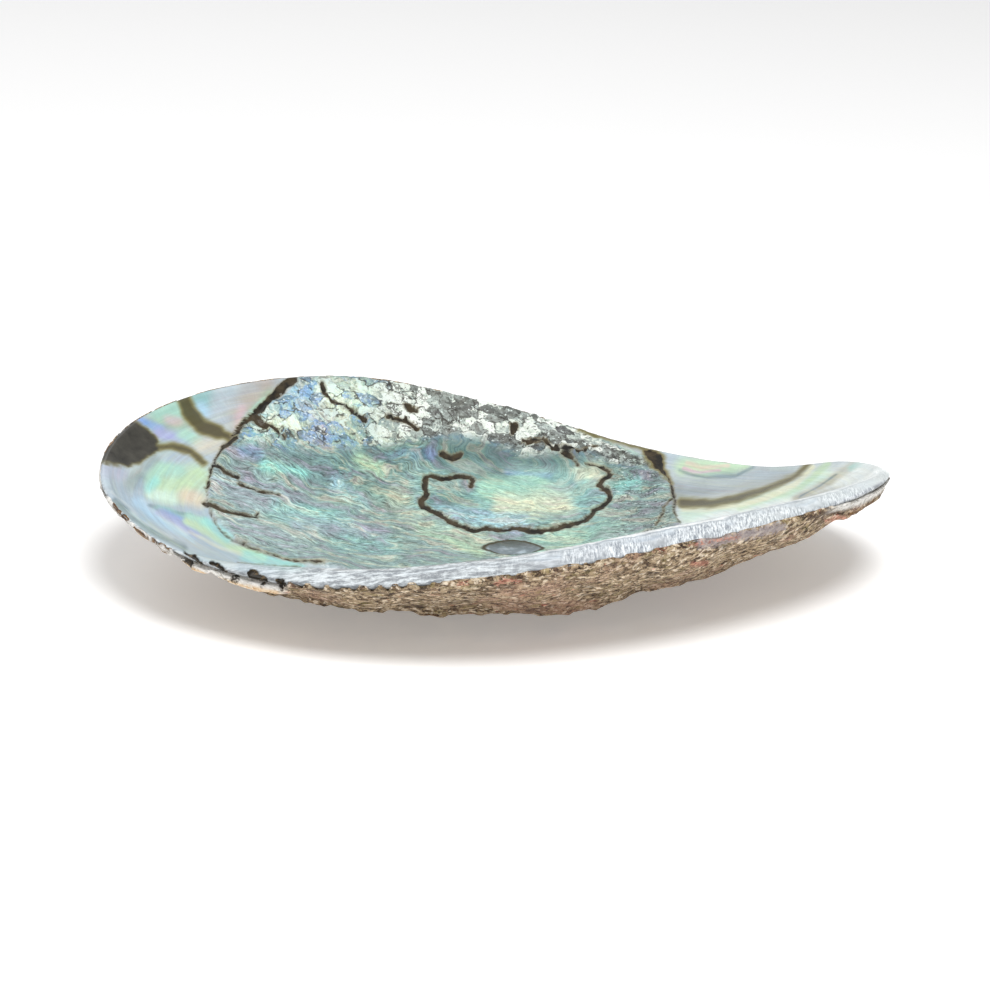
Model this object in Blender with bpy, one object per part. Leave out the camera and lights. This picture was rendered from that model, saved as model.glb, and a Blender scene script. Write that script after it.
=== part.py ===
"""Abalone shell dish: one abalone shell, lying on its back as a shallow bowl.

The shell grew as one piece, so it is one solid. It is a right-handed shell. Its spire is low on
the outside at -X, +Y, its growing lip is at +X, and its columella, the flat pearl shelf that the
bowl's near edge carries, runs along -Y with a row of breathing pores outside it.

Frame: metres, +Z up, the shell's length along X. The origin is under the middle of the shell, on
the surface that it rests on.
"""

import math

import bmesh
import bpy
import numpy as np
from mathutils import Vector, noise

MM = 0.001
TURN = 2 * math.pi
SMALL_ANGLE = 1e-3
SMALL_SHARE = 1e-3
LEAST_SHARE = 0.02

# Driving dimensions of the outline, seen from above
LENGTH = 155 * MM
WIDTH = 117 * MM
LIP_TAPER = 0.20
LIP_TAPER_POWER = 1.5

# Height of the rim's outer edge, at equal steps of the rim's angle: from the growing lip at +X,
# round by the outer lip at +Y and the spire's end at -X, to the columella at -Y
RIM_HEIGHTS = MM * np.array(
    [20.2, 16.4, 9.8, 9.8, 16.9, 24.2, 25.9, 24.9, 22.2, 19.4, 16.0, 15.6, 19.0, 21.9, 22.6, 22.2]
)

# The rim's top: a thin lip, widening to the columella's shelf along -Y
LIP_WIDTH = 1.8 * MM
LIP_CROWN = 0.35 * MM
SHELF_WIDTH = 7.0 * MM
SHELF_RISE = 1.2 * MM
SHELF_STARTS = math.radians(-140), math.radians(-112)
SHELF_ENDS = math.radians(-70), math.radians(20)

# The bowl: both walls run from the rim to the lowest point, which is worn flat
LOWEST = np.array([-2.0, -5.0]) * MM
FLOOR_THICKNESS = 4.0 * MM
WALL_ROUNDNESS = 0.2
WORN_DEPTH = 0.9 * MM

# The muscle scar, inside: a rough oval pad with a low ledge round it, which runs up to the far rim
SCAR_CENTRE = np.array([-10.0, 13.0]) * MM
SCAR_RADII = np.array([47.5, 42.0]) * MM
SCAR_HEIGHT = 0.7 * MM
SCAR_EDGE = 0.94, 1.03
SCAR_LUMP_HEIGHT = 0.9 * MM
SCAR_LUMP_SIZE = 11 * MM
SCAR_FADE = 0.92, 1.0

# The spire, outside: a low cone with a small step from each whorl to the next
APEX = np.array([-46.0, 14.0]) * MM
SPIRE_HEIGHT = 4.2 * MM
SPIRE_RADIUS = 14 * MM
SPIRE_FADE = 0.8 * SPIRE_RADIUS, 1.6 * SPIRE_RADIUS
WHORL_STEP = 1.2 * MM
WHORL_GROWTH = 0.20
APEX_BLUNTNESS = 0.05

# The pores sit on a spiral about the apex: its radius where it crosses the near side, its growth,
# and the bearing at which its first arc starts, behind the apex
PORE_SPIRAL_RADIUS = 46 * MM
PORE_SPIRAL_ANGLE = math.radians(-83)
PORE_SPIRAL_GROWTH = 0.66
PORE_SPIRAL_START = math.radians(100)
KEEL_HEIGHT = 1.0 * MM
KEEL_WIDTH = 4.5 * MM
OPEN_PORES = 5
SEALED_PORES = 9
LAST_PORE_ANGLE = math.radians(-27.5)
PORE_STEP = math.radians(6.4)
PORE_STEP_GROWTH = 1.09
PORE_RADIUS = 2.1 * MM
PORE_SHRINK = 0.93
COLLAR_HEIGHT = 0.5 * MM
COLLAR_ROOT = 1.2 * MM
COLLAR_FOOT = 2.5
COLLAR_MOUTH = 1.5
BORE_REACH = 10 * MM
DIMPLE_DEPTH = 0.4 * MM
DIMPLE_FLOOR = 0.55
DIMPLE_MOUTH = 1.3

# Low relief of the crust, outside: growth waves and lumps, fading out at the rim
GROWTH_WAVE = 0.35 * MM
GROWTH_WAVE_LENGTH = 17 * MM
GROWTH_WAVE_LEAN = 0.12
LUMP_HEIGHT = 1.1 * MM
LUMP_SIZE = 13 * MM
RELIEF_FADE = 0.88, 1.0

# The crust has broken away round the spire end, at -X, and is thick along the near side's right half
BROKEN_DEPTH = 1.0 * MM
BROKEN_SPREAD = math.radians(20), math.radians(43)
BROKEN_BAND = 0.6, 0.9
THICK_CRUST = 1.3 * MM
THICK_CRUST_STARTS = math.radians(-95), math.radians(-70)
THICK_CRUST_ENDS = math.radians(-22), math.radians(-4)
THICK_CRUST_BAND = 0.25, 0.7
THICK_CRUST_EDGE = 0.93, 1.0

# Rows of faces: round the rim, down the inner wall, over the rim's top and down the outer wall
SEGMENTS = 96
INNER_ROWS = 17
RIM_ROWS = 2
OUTER_ROWS = 19
ROW_CROWDING = 0.78
PORE_SIDES = 18
PLACE_ROUNDS = 30


def ramp(value, start, end):
    """0 before start, 1 after end, and smooth between."""
    share = np.clip((value - start) / (end - start), 0, 1)
    return share * share * (3 - 2 * share)


def round_curve(values, angle):
    """A smooth closed curve through values, which stand at equal steps of the angle."""
    place = (angle % TURN) / TURN * len(values)
    index = np.floor(place).astype(int)
    share = place - index
    before, here, after, beyond = (values[(index + step) % len(values)] for step in (-1, 0, 1, 2))
    bend = 2 * before - 5 * here + 4 * after - beyond + share * (3 * (here - after) + beyond - before)
    return here + 0.5 * share * (after - before + share * bend)


def signed(angle):
    """The angle between half a turn back and half a turn on."""
    return (angle + math.pi) % TURN - math.pi


def lumps(points, height, size):
    """Smooth lumps of a height and size, the same for the same points."""
    level = [noise.noise(Vector(point) / size) for point in points.reshape(-1, 3)]
    return height * np.array(level).reshape(points.shape[:-1])


def outer_edge(angle):
    """The rim's outer edge as (x, y, z)."""
    taper = 1 - LIP_TAPER * np.maximum(0, np.cos(angle)) ** LIP_TAPER_POWER
    return np.stack(
        [
            LENGTH / 2 * np.cos(angle),
            WIDTH / 2 * np.sin(angle) * taper,
            round_curve(RIM_HEIGHTS, angle),
        ],
        axis=-1,
    )


def shelf_share(angle):
    """1 where the rim is the columella's full shelf, 0 where it is a thin lip."""
    angle = signed(angle)
    return ramp(angle, *SHELF_STARTS) * (1 - ramp(angle, *SHELF_ENDS))


def inner_edge(angle):
    """The rim's inner edge as (x, y, z)."""
    edge = outer_edge(angle)
    shelf = shelf_share(angle)
    along = (outer_edge(angle + SMALL_ANGLE) - outer_edge(angle - SMALL_ANGLE))[..., :2]
    along /= np.linalg.norm(along, axis=-1, keepdims=True)
    inward = np.stack([-along[..., 1], along[..., 0]], axis=-1)
    width = LIP_WIDTH + (SHELF_WIDTH - LIP_WIDTH) * shelf
    plan = edge[..., :2] + inward * width[..., None]
    return np.concatenate([plan, (edge[..., 2] + SHELF_RISE * shelf)[..., None]], axis=-1)


def wall(edge, share, floor):
    """A point of a wall that runs from the lowest point, at share 0, to the rim, at share 1."""
    plan = LOWEST + (edge[..., :2] - LOWEST) * share[..., None]
    bowl = 1 - np.sqrt(np.maximum(0, 1 - share**2))
    rise = (1 - WALL_ROUNDNESS) * share**2 + WALL_ROUNDNESS * bowl
    height = floor + (edge[..., 2] - floor) * rise
    return np.concatenate([plan, height[..., None]], axis=-1)


def outer_wall(angle, share):
    return wall(outer_edge(angle), share, -WORN_DEPTH)


def inside(angle, share):
    """The pearly inside with the muscle scar's relief."""
    points = wall(inner_edge(angle), share, FLOOR_THICKNESS)
    from_centre = (points[..., :2] - SCAR_CENTRE) / SCAR_RADII
    on_scar = 1 - ramp(np.linalg.norm(from_centre, axis=-1), *SCAR_EDGE)
    rough = SCAR_HEIGHT + lumps(points, SCAR_LUMP_HEIGHT, SCAR_LUMP_SIZE)
    points[..., 2] += rough * on_scar * (1 - ramp(share, *SCAR_FADE))
    return points


def outward(angle, share):
    """The outer wall's normal, pointing out of the shell."""
    nearer = np.clip(share - SMALL_SHARE, LEAST_SHARE, 1)
    further = nearer + SMALL_SHARE
    along = outer_wall(angle + SMALL_ANGLE, further) - outer_wall(angle - SMALL_ANGLE, further)
    up = outer_wall(angle, further) - outer_wall(angle, nearer)
    normal = np.cross(along, up)
    return normal / np.linalg.norm(normal, axis=-1, keepdims=True)


def pore_spiral_radius(bearing):
    return PORE_SPIRAL_RADIUS * np.exp(PORE_SPIRAL_GROWTH * (bearing - PORE_SPIRAL_ANGLE))


def spire(distance, bearing):
    """The spire's height at a distance and bearing from the apex."""
    cone = SPIRE_HEIGHT * np.exp(-((distance / SPIRE_RADIUS) ** 2))
    turns = bearing - np.log(distance / SPIRE_RADIUS + APEX_BLUNTNESS) / WHORL_GROWTH
    step = WHORL_STEP * (turns / TURN % 1 - 0.5)
    return cone + step * (1 - ramp(distance, *SPIRE_FADE))


def keel(distance, bearing):
    """The low ridge that carries the pores."""
    bearing = np.where(bearing > PORE_SPIRAL_START, bearing - TURN, bearing)
    off_ridge = (distance - pore_spiral_radius(bearing)) * math.cos(math.atan(PORE_SPIRAL_GROWTH))
    return KEEL_HEIGHT * np.exp(-((off_ridge / KEEL_WIDTH) ** 2))


def growth_waves(distance, bearing):
    lean = 1 + GROWTH_WAVE_LEAN * np.sin(bearing)
    return GROWTH_WAVE * np.sin(TURN * distance * lean / GROWTH_WAVE_LENGTH)


def broken_crust(angle, share):
    """How much crust is missing round the spire end."""
    from_spire_end = np.abs(signed(angle - math.pi))
    return BROKEN_DEPTH * (1 - ramp(from_spire_end, *BROKEN_SPREAD)) * ramp(share, *BROKEN_BAND)


def thick_crust(angle, share):
    """How much the crust stands out along the near side's right half, up to the rim."""
    angle = signed(angle)
    here = ramp(angle, *THICK_CRUST_STARTS) * (1 - ramp(angle, *THICK_CRUST_ENDS))
    return THICK_CRUST * here * ramp(share, *THICK_CRUST_BAND) * (1 - ramp(share, *THICK_CRUST_EDGE))


def relief(points, angle, share):
    """How far the outside stands out from the plain outer wall."""
    from_apex = points[..., :2] - APEX
    distance = np.linalg.norm(from_apex, axis=-1)
    bearing = np.arctan2(from_apex[..., 1], from_apex[..., 0])
    height = spire(distance, bearing) + keel(distance, bearing) + growth_waves(distance, bearing)
    height += lumps(points, LUMP_HEIGHT, LUMP_SIZE) - broken_crust(angle, share)
    return height * (1 - ramp(share, *RELIEF_FADE)) + thick_crust(angle, share)


def outside(angle, share):
    """The outside with its relief, worn flat where it rests."""
    plain = outer_wall(angle, share)
    points = plain + outward(angle, share) * relief(plain, angle, share)[..., None]
    points[..., 2] = np.maximum(points[..., 2], 0)
    return points


def rim_top(angle, share):
    """The rim's top, from its inner edge at share 0 to its outer edge at share 1."""
    inner, outer = inner_edge(angle), outer_edge(angle)
    points = inner + (outer - inner) * share[..., None]
    points[..., 2] += LIP_CROWN * np.sin(math.pi * share)
    return points


def shell_body():
    """The shell as a sphere whose upper half is pressed down into the lower: its equator is the rim."""
    rows = INNER_ROWS + RIM_ROWS + OUTER_ROWS
    grid = bmesh.new()
    bmesh.ops.create_uvsphere(grid, u_segments=SEGMENTS, v_segments=rows, radius=1)
    ball = np.array([vertex.co for vertex in grid.verts])
    row = np.round(np.arccos(np.clip(ball[:, 2], -1, 1)) / math.pi * rows)
    angle = np.arctan2(ball[:, 1], ball[:, 0])

    inner_share = np.clip(row / INNER_ROWS, 0, 1) ** ROW_CROWDING
    rim_share = np.clip((row - INNER_ROWS) / RIM_ROWS, 0, 1)
    outer_share = np.clip((rows - row) / OUTER_ROWS, 0, 1) ** ROW_CROWDING
    on_inside = (row <= INNER_ROWS)[:, None]
    on_top = (row <= INNER_ROWS + RIM_ROWS)[:, None]
    points = np.where(on_top, rim_top(angle, rim_share), outside(angle, outer_share))
    points = np.where(on_inside, inside(angle, inner_share), points)

    for vertex, point in zip(grid.verts, points):
        vertex.co = point
    mesh = bpy.data.meshes.new("abalone_shell")
    grid.to_mesh(mesh)
    grid.free()
    mesh.shade_smooth()
    return bpy.data.objects.new("abalone_shell", mesh)


def share_at(place):
    """The rim angle and wall share of the outside's point over a place seen from above."""
    angle = math.atan2(place[1] - LOWEST[1], place[0] - LOWEST[0])
    for _ in range(PLACE_ROUNDS):
        edge = outer_edge(np.array(angle))[:2] - LOWEST
        miss = math.atan2(place[1] - LOWEST[1], place[0] - LOWEST[0]) - math.atan2(edge[1], edge[0])
        angle += signed(miss)
    return angle, np.linalg.norm(place - LOWEST) / np.linalg.norm(edge)


def pores():
    """(place, outward direction, radius, open) of each pore, from the growing lip to the spire."""
    bearing, step, radius = LAST_PORE_ANGLE, PORE_STEP, PORE_RADIUS
    found = []
    for count in range(OPEN_PORES + SEALED_PORES):
        away = np.array([math.cos(bearing), math.sin(bearing)]) * pore_spiral_radius(bearing)
        angle, share = share_at(APEX + away)
        angle, share = np.array(angle), np.array(share)
        place, direction = outside(angle, share), outward(angle, share)
        found.append((Vector(place), Vector(direction), radius, count < OPEN_PORES))
        bearing -= step
        step *= PORE_STEP_GROWTH
        radius *= PORE_SHRINK
    return found


def cone(grid, base, direction, length, base_radius, tip_radius):
    """Adds a closed cone or cylinder that stands on base and points along direction."""
    turn = Vector((0, 0, 1)).rotation_difference(direction)
    made = bmesh.ops.create_cone(
        grid,
        cap_ends=True,
        segments=PORE_SIDES,
        radius1=base_radius,
        radius2=tip_radius,
        depth=length,
    )
    for vertex in made["verts"]:
        vertex.co = base + turn @ (vertex.co + Vector((0, 0, length / 2)))


def helper(name, grid, collection):
    """A hidden object that a Boolean uses."""
    mesh = bpy.data.meshes.new(name)
    grid.to_mesh(mesh)
    grid.free()
    made = bpy.data.objects.new(name, mesh)
    made.hide_render = True
    made.display_type = "WIRE"
    collection.objects.link(made)
    return made


def pore_collars(collection):
    """A raised collar round each pore that stands clear of the ground."""
    grid = bmesh.new()
    for place, direction, radius, _ in pores():
        if place.z > COLLAR_HEIGHT:
            base = place - direction * COLLAR_ROOT
            height = COLLAR_ROOT + COLLAR_HEIGHT
            cone(grid, base, direction, height, radius * COLLAR_FOOT, radius * COLLAR_MOUTH)
    return helper("pore_collars", grid, collection)


def pore_bores(collection):
    """Open pores go right through the wall, and sealed ones are shallow dimples."""
    grid = bmesh.new()
    for place, direction, radius, is_open in pores():
        if is_open:
            cone(grid, place - direction * BORE_REACH, direction, 2 * BORE_REACH, radius, radius)
        elif place.z > COLLAR_HEIGHT:
            base = place + direction * (COLLAR_HEIGHT - DIMPLE_DEPTH)
            floor, mouth = radius * DIMPLE_FLOOR, radius * DIMPLE_MOUTH
            cone(grid, base, direction, 2 * DIMPLE_DEPTH, floor, mouth)
    return helper("pore_bores", grid, collection)


def join(shell, other, operation):
    cut = shell.modifiers.new(other.name, "BOOLEAN")
    cut.operation = operation
    cut.object = other
    cut.solver = "EXACT"


def shell_material():
    made = bpy.data.materials.new("nacre_and_crust")
    made.use_nodes = True
    shader = made.node_tree.nodes["Principled BSDF"]
    shader.inputs["Base Color"].default_value = (0.55, 0.66, 0.64, 1)
    shader.inputs["Roughness"].default_value = 0.3
    shader.inputs["Metallic"].default_value = 0.0
    return made


def main():
    for old in list(bpy.data.objects):
        bpy.data.objects.remove(old)
    scene = bpy.context.scene
    parts = bpy.data.collections.new("abalone_shell_dish")
    helpers = bpy.data.collections.new("cutters")
    scene.collection.children.link(parts)
    scene.collection.children.link(helpers)

    shell = shell_body()
    parts.objects.link(shell)
    shell.data.materials.append(shell_material())
    join(shell, pore_collars(helpers), "UNION")
    join(shell, pore_bores(helpers), "DIFFERENCE")


main()
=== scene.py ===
import math

import bmesh
import bpy
import numpy as np
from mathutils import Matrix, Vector, noise
from mathutils.kdtree import KDTree


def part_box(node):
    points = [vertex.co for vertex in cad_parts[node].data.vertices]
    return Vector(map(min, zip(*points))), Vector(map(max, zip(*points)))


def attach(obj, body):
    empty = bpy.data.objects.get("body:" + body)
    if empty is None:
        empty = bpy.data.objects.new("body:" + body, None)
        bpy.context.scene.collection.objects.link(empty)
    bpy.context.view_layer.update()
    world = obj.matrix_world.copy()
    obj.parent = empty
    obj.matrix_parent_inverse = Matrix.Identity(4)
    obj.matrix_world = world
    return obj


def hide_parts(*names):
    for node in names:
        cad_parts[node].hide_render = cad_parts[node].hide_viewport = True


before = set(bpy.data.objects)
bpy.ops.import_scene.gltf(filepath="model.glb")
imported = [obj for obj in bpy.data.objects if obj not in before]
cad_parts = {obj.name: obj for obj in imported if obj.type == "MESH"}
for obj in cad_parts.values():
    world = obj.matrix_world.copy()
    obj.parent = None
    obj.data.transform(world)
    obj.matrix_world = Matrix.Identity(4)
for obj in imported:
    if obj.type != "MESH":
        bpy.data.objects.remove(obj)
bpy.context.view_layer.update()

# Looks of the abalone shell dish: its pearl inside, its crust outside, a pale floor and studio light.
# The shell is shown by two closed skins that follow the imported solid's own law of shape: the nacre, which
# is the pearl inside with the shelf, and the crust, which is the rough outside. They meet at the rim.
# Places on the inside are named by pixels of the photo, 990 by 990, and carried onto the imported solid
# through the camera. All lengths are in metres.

MM = 0.001
TURN = 2 * math.pi
SMALL_ANGLE = 1e-3
SMALL_SHARE = 1e-3
LEAST_SHARE = 0.02

NODE = "abalone_shell"
LOW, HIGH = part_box(NODE)
LENGTH = HIGH.x - LOW.x
WIDTH = HIGH.y - LOW.y

# The photo's frame, in pixels, and the camera that it was fitted to
FRAME_PIXELS = 990
CAMERA_HEIGHT_ANGLE = math.radians(18)
CAMERA_DISTANCE = 0.62
CAMERA_TARGET = np.array([0, 0, 0.0154])
SHELL_PIXELS = 785
SENSOR = 36
FLOOR_GLOW = 0.24
FOCAL_PIXELS = SHELL_PIXELS / LENGTH * CAMERA_DISTANCE

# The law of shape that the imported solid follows: outline, rim, bowl and muscle scar
LIP_TAPER = 0.20
LIP_TAPER_POWER = 1.5
RIM_HEIGHTS = MM * np.array(
    [20.2, 16.4, 9.8, 9.8, 16.9, 24.2, 25.9, 24.9, 22.2, 19.4, 16.0, 15.6, 19.0, 21.9, 22.6, 22.2]
)
LIP_WIDTH = 1.8 * MM
LIP_CROWN = 0.35 * MM
SHELF_WIDTH = 7.0 * MM
SHELF_RISE = 1.2 * MM
SHELF_STARTS = math.radians(-140), math.radians(-112)
SHELF_ENDS = math.radians(-70), math.radians(20)
LOWEST = np.array([-2.0, -5.0]) * MM
FLOOR_THICKNESS = 4.0 * MM
WALL_ROUNDNESS = 0.2
WORN_DEPTH = 0.9 * MM
SCAR_HEIGHT = 0.7 * MM
SCAR_LUMP_HEIGHT = 0.9 * MM
SCAR_LUMP_SIZE = 11 * MM
SCAR_FADE = 0.92, 1.0

# The outside: spire, keel, pores, waves, lumps, broken and thick crust
APEX = np.array([-46.0, 14.0]) * MM
SPIRE_HEIGHT = 4.2 * MM
SPIRE_RADIUS = 14 * MM
SPIRE_FADE = 0.8 * SPIRE_RADIUS, 1.6 * SPIRE_RADIUS
WHORL_STEP = 1.2 * MM
WHORL_GROWTH = 0.20
APEX_BLUNTNESS = 0.05
PORE_SPIRAL_RADIUS = 46 * MM
PORE_SPIRAL_ANGLE = math.radians(-83)
PORE_SPIRAL_GROWTH = 0.66
PORE_SPIRAL_START = math.radians(100)
KEEL_HEIGHT = 1.0 * MM
KEEL_WIDTH = 4.5 * MM
OPEN_PORES = 5
SEALED_PORES = 9
LAST_PORE_ANGLE = math.radians(-27.5)
PORE_STEP = math.radians(6.4)
PORE_STEP_GROWTH = 1.09
PORE_RADIUS = 2.1 * MM
PORE_SHRINK = 0.93
PORE_SIDES = 24
COLLAR_HEIGHT = 0.5 * MM
COLLAR_PLACE = 1.45
COLLAR_SPREAD = 0.5
DIMPLE_DEPTH = 0.6 * MM
BORE_REACH = 10 * MM
PLACE_ROUNDS = 30
GROWTH_WAVE = 0.35 * MM
GROWTH_WAVE_LENGTH = 17 * MM
GROWTH_WAVE_LEAN = 0.12
LUMP_HEIGHT = 1.1 * MM
LUMP_SIZE = 13 * MM
RELIEF_FADE = 0.88, 1.0
BROKEN_DEPTH = 1.0 * MM
BROKEN_SPREAD = math.radians(20), math.radians(43)
BROKEN_BAND = 0.6, 0.9
THICK_CRUST = 1.3 * MM
THICK_CRUST_STARTS = math.radians(-95), math.radians(-70)
THICK_CRUST_ENDS = math.radians(-22), math.radians(-4)
THICK_CRUST_BAND = 0.25, 0.7
THICK_CRUST_EDGE = 0.93, 1.0

# Fineness of the skins, in cells along and across the shell, and the share of them that each zone takes
NACRE_CELLS = 350, 236
CRUST_CELLS = 330, 240
NACRE_WALL = 0.90
CRUST_WALL = 0.93
CRUST_STRIP = 5.0 * MM
CRUST_LIFT = 0.12 * MM
CORNER_LIFT = 0.28 * MM
CORNER_REACH = 0.3 * MM, 1.3 * MM
LIP_GAP = 0.1 * MM
SKIN_OVERLAP = 0.1 * MM
MID_WALL = 0.45

# Pearl relief
LEDGE_PIXELS = -1.5, 1.5
LINE_DEPTH = 0.35 * MM
LINE_RAGGED = 1.1
FLAKE_SIZE = 2.1 * MM
FLAKE_HEIGHT = 0.9 * MM
FLAKE_TILT = 0.16
FLAKE_FIELD = np.array([-62, 8]) * MM, np.array([40, 60]) * MM
FLAKE_SEED = 7
RIM_BUMP = 0.35 * MM
STRIATION = 0.07 * MM
STRIATION_SIZE = 0.5 * MM
OVAL_DENT = 0.5 * MM
PIT_DEPTH = 0.8 * MM
LOBE = 1.5 * MM
LOBE_BAND = np.array([-14.0, -7.0, -3.2, -0.2]) * MM
LOBE_TAN = 0.42, 0.62
NEAR_FADE = 0.0, 0.16
NEAR_WANDER = 2.5 * MM
NEAR_REACH = 0, 6 * MM
PIT_REACH = -9 * MM, -6 * MM
BLISTER_HEIGHT = 0.7 * MM

# Crust relief
GRAIN = 0.30 * MM
GRAIN_SIZE = 2.2 * MM
STAIN_DEPTH = -16 * MM
GRAIN_STRETCH = np.array([0.45, 1.0, 1.0])
SCALLOP_PIXELS = 18
SCALLOP = 1.5 * MM
SCALLOP_WANDER = 7
SCALLOP_SPAN = 285, 445
EDGE_WANDER = 0.5 * MM
LEDGE_SPAN = 165, 292
LEDGE_DROP = 1.5 * MM
TIP_SPAN = 815, 860
TIP_END = 866, 882
TIP_DROP = 0.6 * MM

# Places on the pearl inside, in pixels of the photo: the rough muscle scar and the grey oval
SCAR = [
    (300, 375), (285, 396), (270, 405), (240, 430), (222, 450), (215, 465), (207, 490), (208, 510),
    (235, 540), (275, 560), (330, 568), (330, 800), (690, 800), (690, 545), (678, 520),
    (672, 495), (665, 475), (650, 458), (600, 437), (560, 410), (450, 370),
]
SHELF_RIDGE = [246, 247, 325, 430, 461, 545, 611, 680, 737, 794, 852], [
    900, 566, 567, 566, 562, 553, 540, 527, 517, 501, 479,
]

# The near half of the inside, which the photo doesn't show, in plan and in millimetres
NEAR_SCAR = [
    (-36, 45), (-36, -14), (-28, -21), (-15, -28), (0, -31), (15, -29),
    (27, -20), (34, -8), (36.5, 2), (37, 45),
]
PIXELS_PER_MM = 5
HIDDEN_FADE = 1, 14
HIDDEN_COLOURS = ("pale_mint", 131), ("pale_blue", 141), ("lilac", 151)
HIDDEN_STRENGTH = 0.6
HIDDEN_PATCH = 13 * MM
SWIRL = np.array([5.0, 40.0]) * MM
SWIRL_STRETCH = 1.7, 3.2
SWIRL_REACH = 14 * MM, 34 * MM
FLOW_LEAN = 0.10
FLOW_ACROSS = 1.0 * MM
FLOW_ALONG = 7 * MM
GROWTH_LINES = 48
GROWTH_STREAKS = 2.2
OVAL = (513, 550)
OVAL_RADII = 30, 6.8
BAND_ACROSS = [200, 260, 330, 400, 450, 520, 600, 660]
BAND_DOWN = [440, 445, 455, 440, 440, 452, 462, 470]
GLITTER_STARTS = 596, 624
OVAL_ROUNDNESS = 1.25, 1.9
DARK_PATCH = [(642, 450), (652, 448), (663, 454), (665, 466), (672, 483), (664, 481), (653, 470), (646, 461)]
BLISTER = (448, 451)
BLISTER_RADIUS = 4.5

# Dark lines of the pearl, each with its width in pixels at its start and at its end
DARK_LINES = [
    (3.8, 3.8, [(471, 489), (474, 484), (470, 481), (458, 479), (441, 482), (430, 480),
                (425, 482), (424, 490)]),
    (5.0, 5.0, [(426, 482), (424, 490), (427, 498), (421, 505), (422, 509), (430, 514), (441, 520)]),
    (3.2, 3.6, [(441, 520), (448, 526), (460, 530), (474, 534), (487, 531), (502, 534), (517, 532),
                (533, 535), (552, 532), (570, 528), (584, 525)]),
    (3.8, 4.0, [(584, 525), (590, 521), (595, 514), (602, 510), (607, 505), (610, 500), (608, 494),
                (598, 489), (604, 484), (610, 480), (608, 475), (603, 471)]),
    (2.2, 1.2, [(606, 474), (598, 469), (586, 468)]),
    (8.5, 5.0, [(293, 379), (279, 390), (268, 401), (257, 411)]),
    (1.6, 4.6, [(284, 393), (273, 401), (262, 410)]),
    (7.0, 3.4, [(263, 410), (252, 418), (244, 424), (236, 437)]),
    (1.4, 2.4, [(250, 414), (240, 424), (232, 436)]),
    (6.0, 5.0, [(225, 447), (236, 441)]),
    (2.0, 2.4, [(222, 450), (213, 464), (207, 488)]),
    (0.2, 0.2, [(207, 488), (207, 500), (211, 515), (220, 530), (232, 540)]),
    (5.5, 2.2, [(253, 418), (262, 426), (272, 431), (285, 442)]),
    (2.0, 4.4, [(213, 466), (226, 476), (237, 481)]),
    (2.2, 1.0, [(238, 487), (246, 489), (256, 493), (280, 497)]),
    (4.4, 2.4, [(205, 503), (216, 509), (224, 513), (240, 517), (257, 520)]),
    (2.0, 1.0, [(257, 520), (258, 514)]),
    (0.2, 0.6, [(232, 540), (262, 553)]),
    (0.5, 0.2, [(262, 553), (290, 561), (325, 566)]),
    (4.6, 2.2, [(322, 383), (325, 398), (334, 406), (350, 411), (356, 414)]),
    (2.0, 3.4, [(352, 416), (366, 424)]),
    (4.0, 4.0, [(387, 420), (402, 421), (410, 424), (417, 429)]),
    (4.0, 4.0, [(406, 409), (411, 411), (417, 412)]),
    (7.0, 7.0, [(514, 427), (514, 431)]),
    (3.0, 3.0, [(524, 442), (534, 442), (543, 443)]),
    (3.0, 5.0, [(543, 443), (552, 451), (558, 452)]),
    (5.0, 2.0, [(564, 457), (572, 462), (578, 469)]),
    (2.4, 1.2, [(556, 451), (570, 454), (583, 454), (598, 447)]),
    (4.6, 4.6, [(442, 457), (451, 461), (460, 458)]),
    (2.4, 1.0, [(669, 478), (672, 490), (675, 500), (674, 512), (679, 524)]),
    (1.0, 1.2, [(672, 499), (664, 508), (663, 515), (656, 526)]),
    (0.8, 1.2, [(238, 563), (262, 566), (300, 567)]),
]

# Olive bands in the smooth pearl, each with its width in pixels
OLIVE_BANDS = [
    (17, 17, [(182, 395), (189, 412), (201, 426), (218, 432)]),
    (11, 11, [(218, 432), (232, 439)]),
    (9, 9, [(158, 447), (172, 446), (190, 451), (204, 463)]),
    (6, 10, [(808, 464), (798, 474), (784, 482), (761, 491), (734, 499)]),
    (10, 12, [(734, 499), (711, 503), (682, 503)]),
    (5, 6, [(580, 430), (600, 436), (625, 443), (650, 451)]),
]

# Pits and brown bars of the near left rim and of the tip, each with its width in pixels
PITS = [
    (3.8, 3.4, [(186, 552), (195, 557), (204, 564)]),
    (3.8, 3.8, [(186, 558), (192, 563)]),
    (3.4, 3.4, [(211, 562), (218, 565), (226, 570)]),
    (8.5, 8.5, [(252, 573), (258, 576), (264, 579)]),
    (7.0, 7.0, [(279, 580), (282, 584)]),
    (2.4, 2.4, [(218, 575), (228, 577)]),
    (2.2, 2.2, [(232, 575), (239, 577)]),
    (2.6, 2.6, [(236, 582), (242, 585)]),
]
BARS = [
    (3.4, 5.0, [(112, 504), (119, 512), (126, 520)]),
    (3.6, 3.6, [(134, 529), (145, 536), (156, 543)]),
    (3.2, 3.2, [(159, 544), (170, 550)]),
    (2.4, 3.0, [(846, 511), (857, 507), (866, 501)]),
    (2.4, 2.4, [(868, 500), (876, 495)]),
    (3.6, 3.6, [(873, 491), (881, 484), (887, 480)]),
]
SALMON = [
    (2.6, 1.0, [(498, 583), (508, 580), (520, 582)]),
    (2, 1, [(460, 584), (467, 583)]),
    (1.2, 2.4, [(655, 550), (664, 549)]),
    (2.4, 3.0, [(692, 564), (706, 563)]),
    (1.2, 1.8, [(692, 544), (712, 541), (738, 536)]),
    (1.0, 1.0, [(590, 590), (598, 589)]),
    (1.2, 1.0, [(528, 601), (534, 600)]),
    (1.2, 1.8, [(826, 521), (842, 515)]),
]
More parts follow.
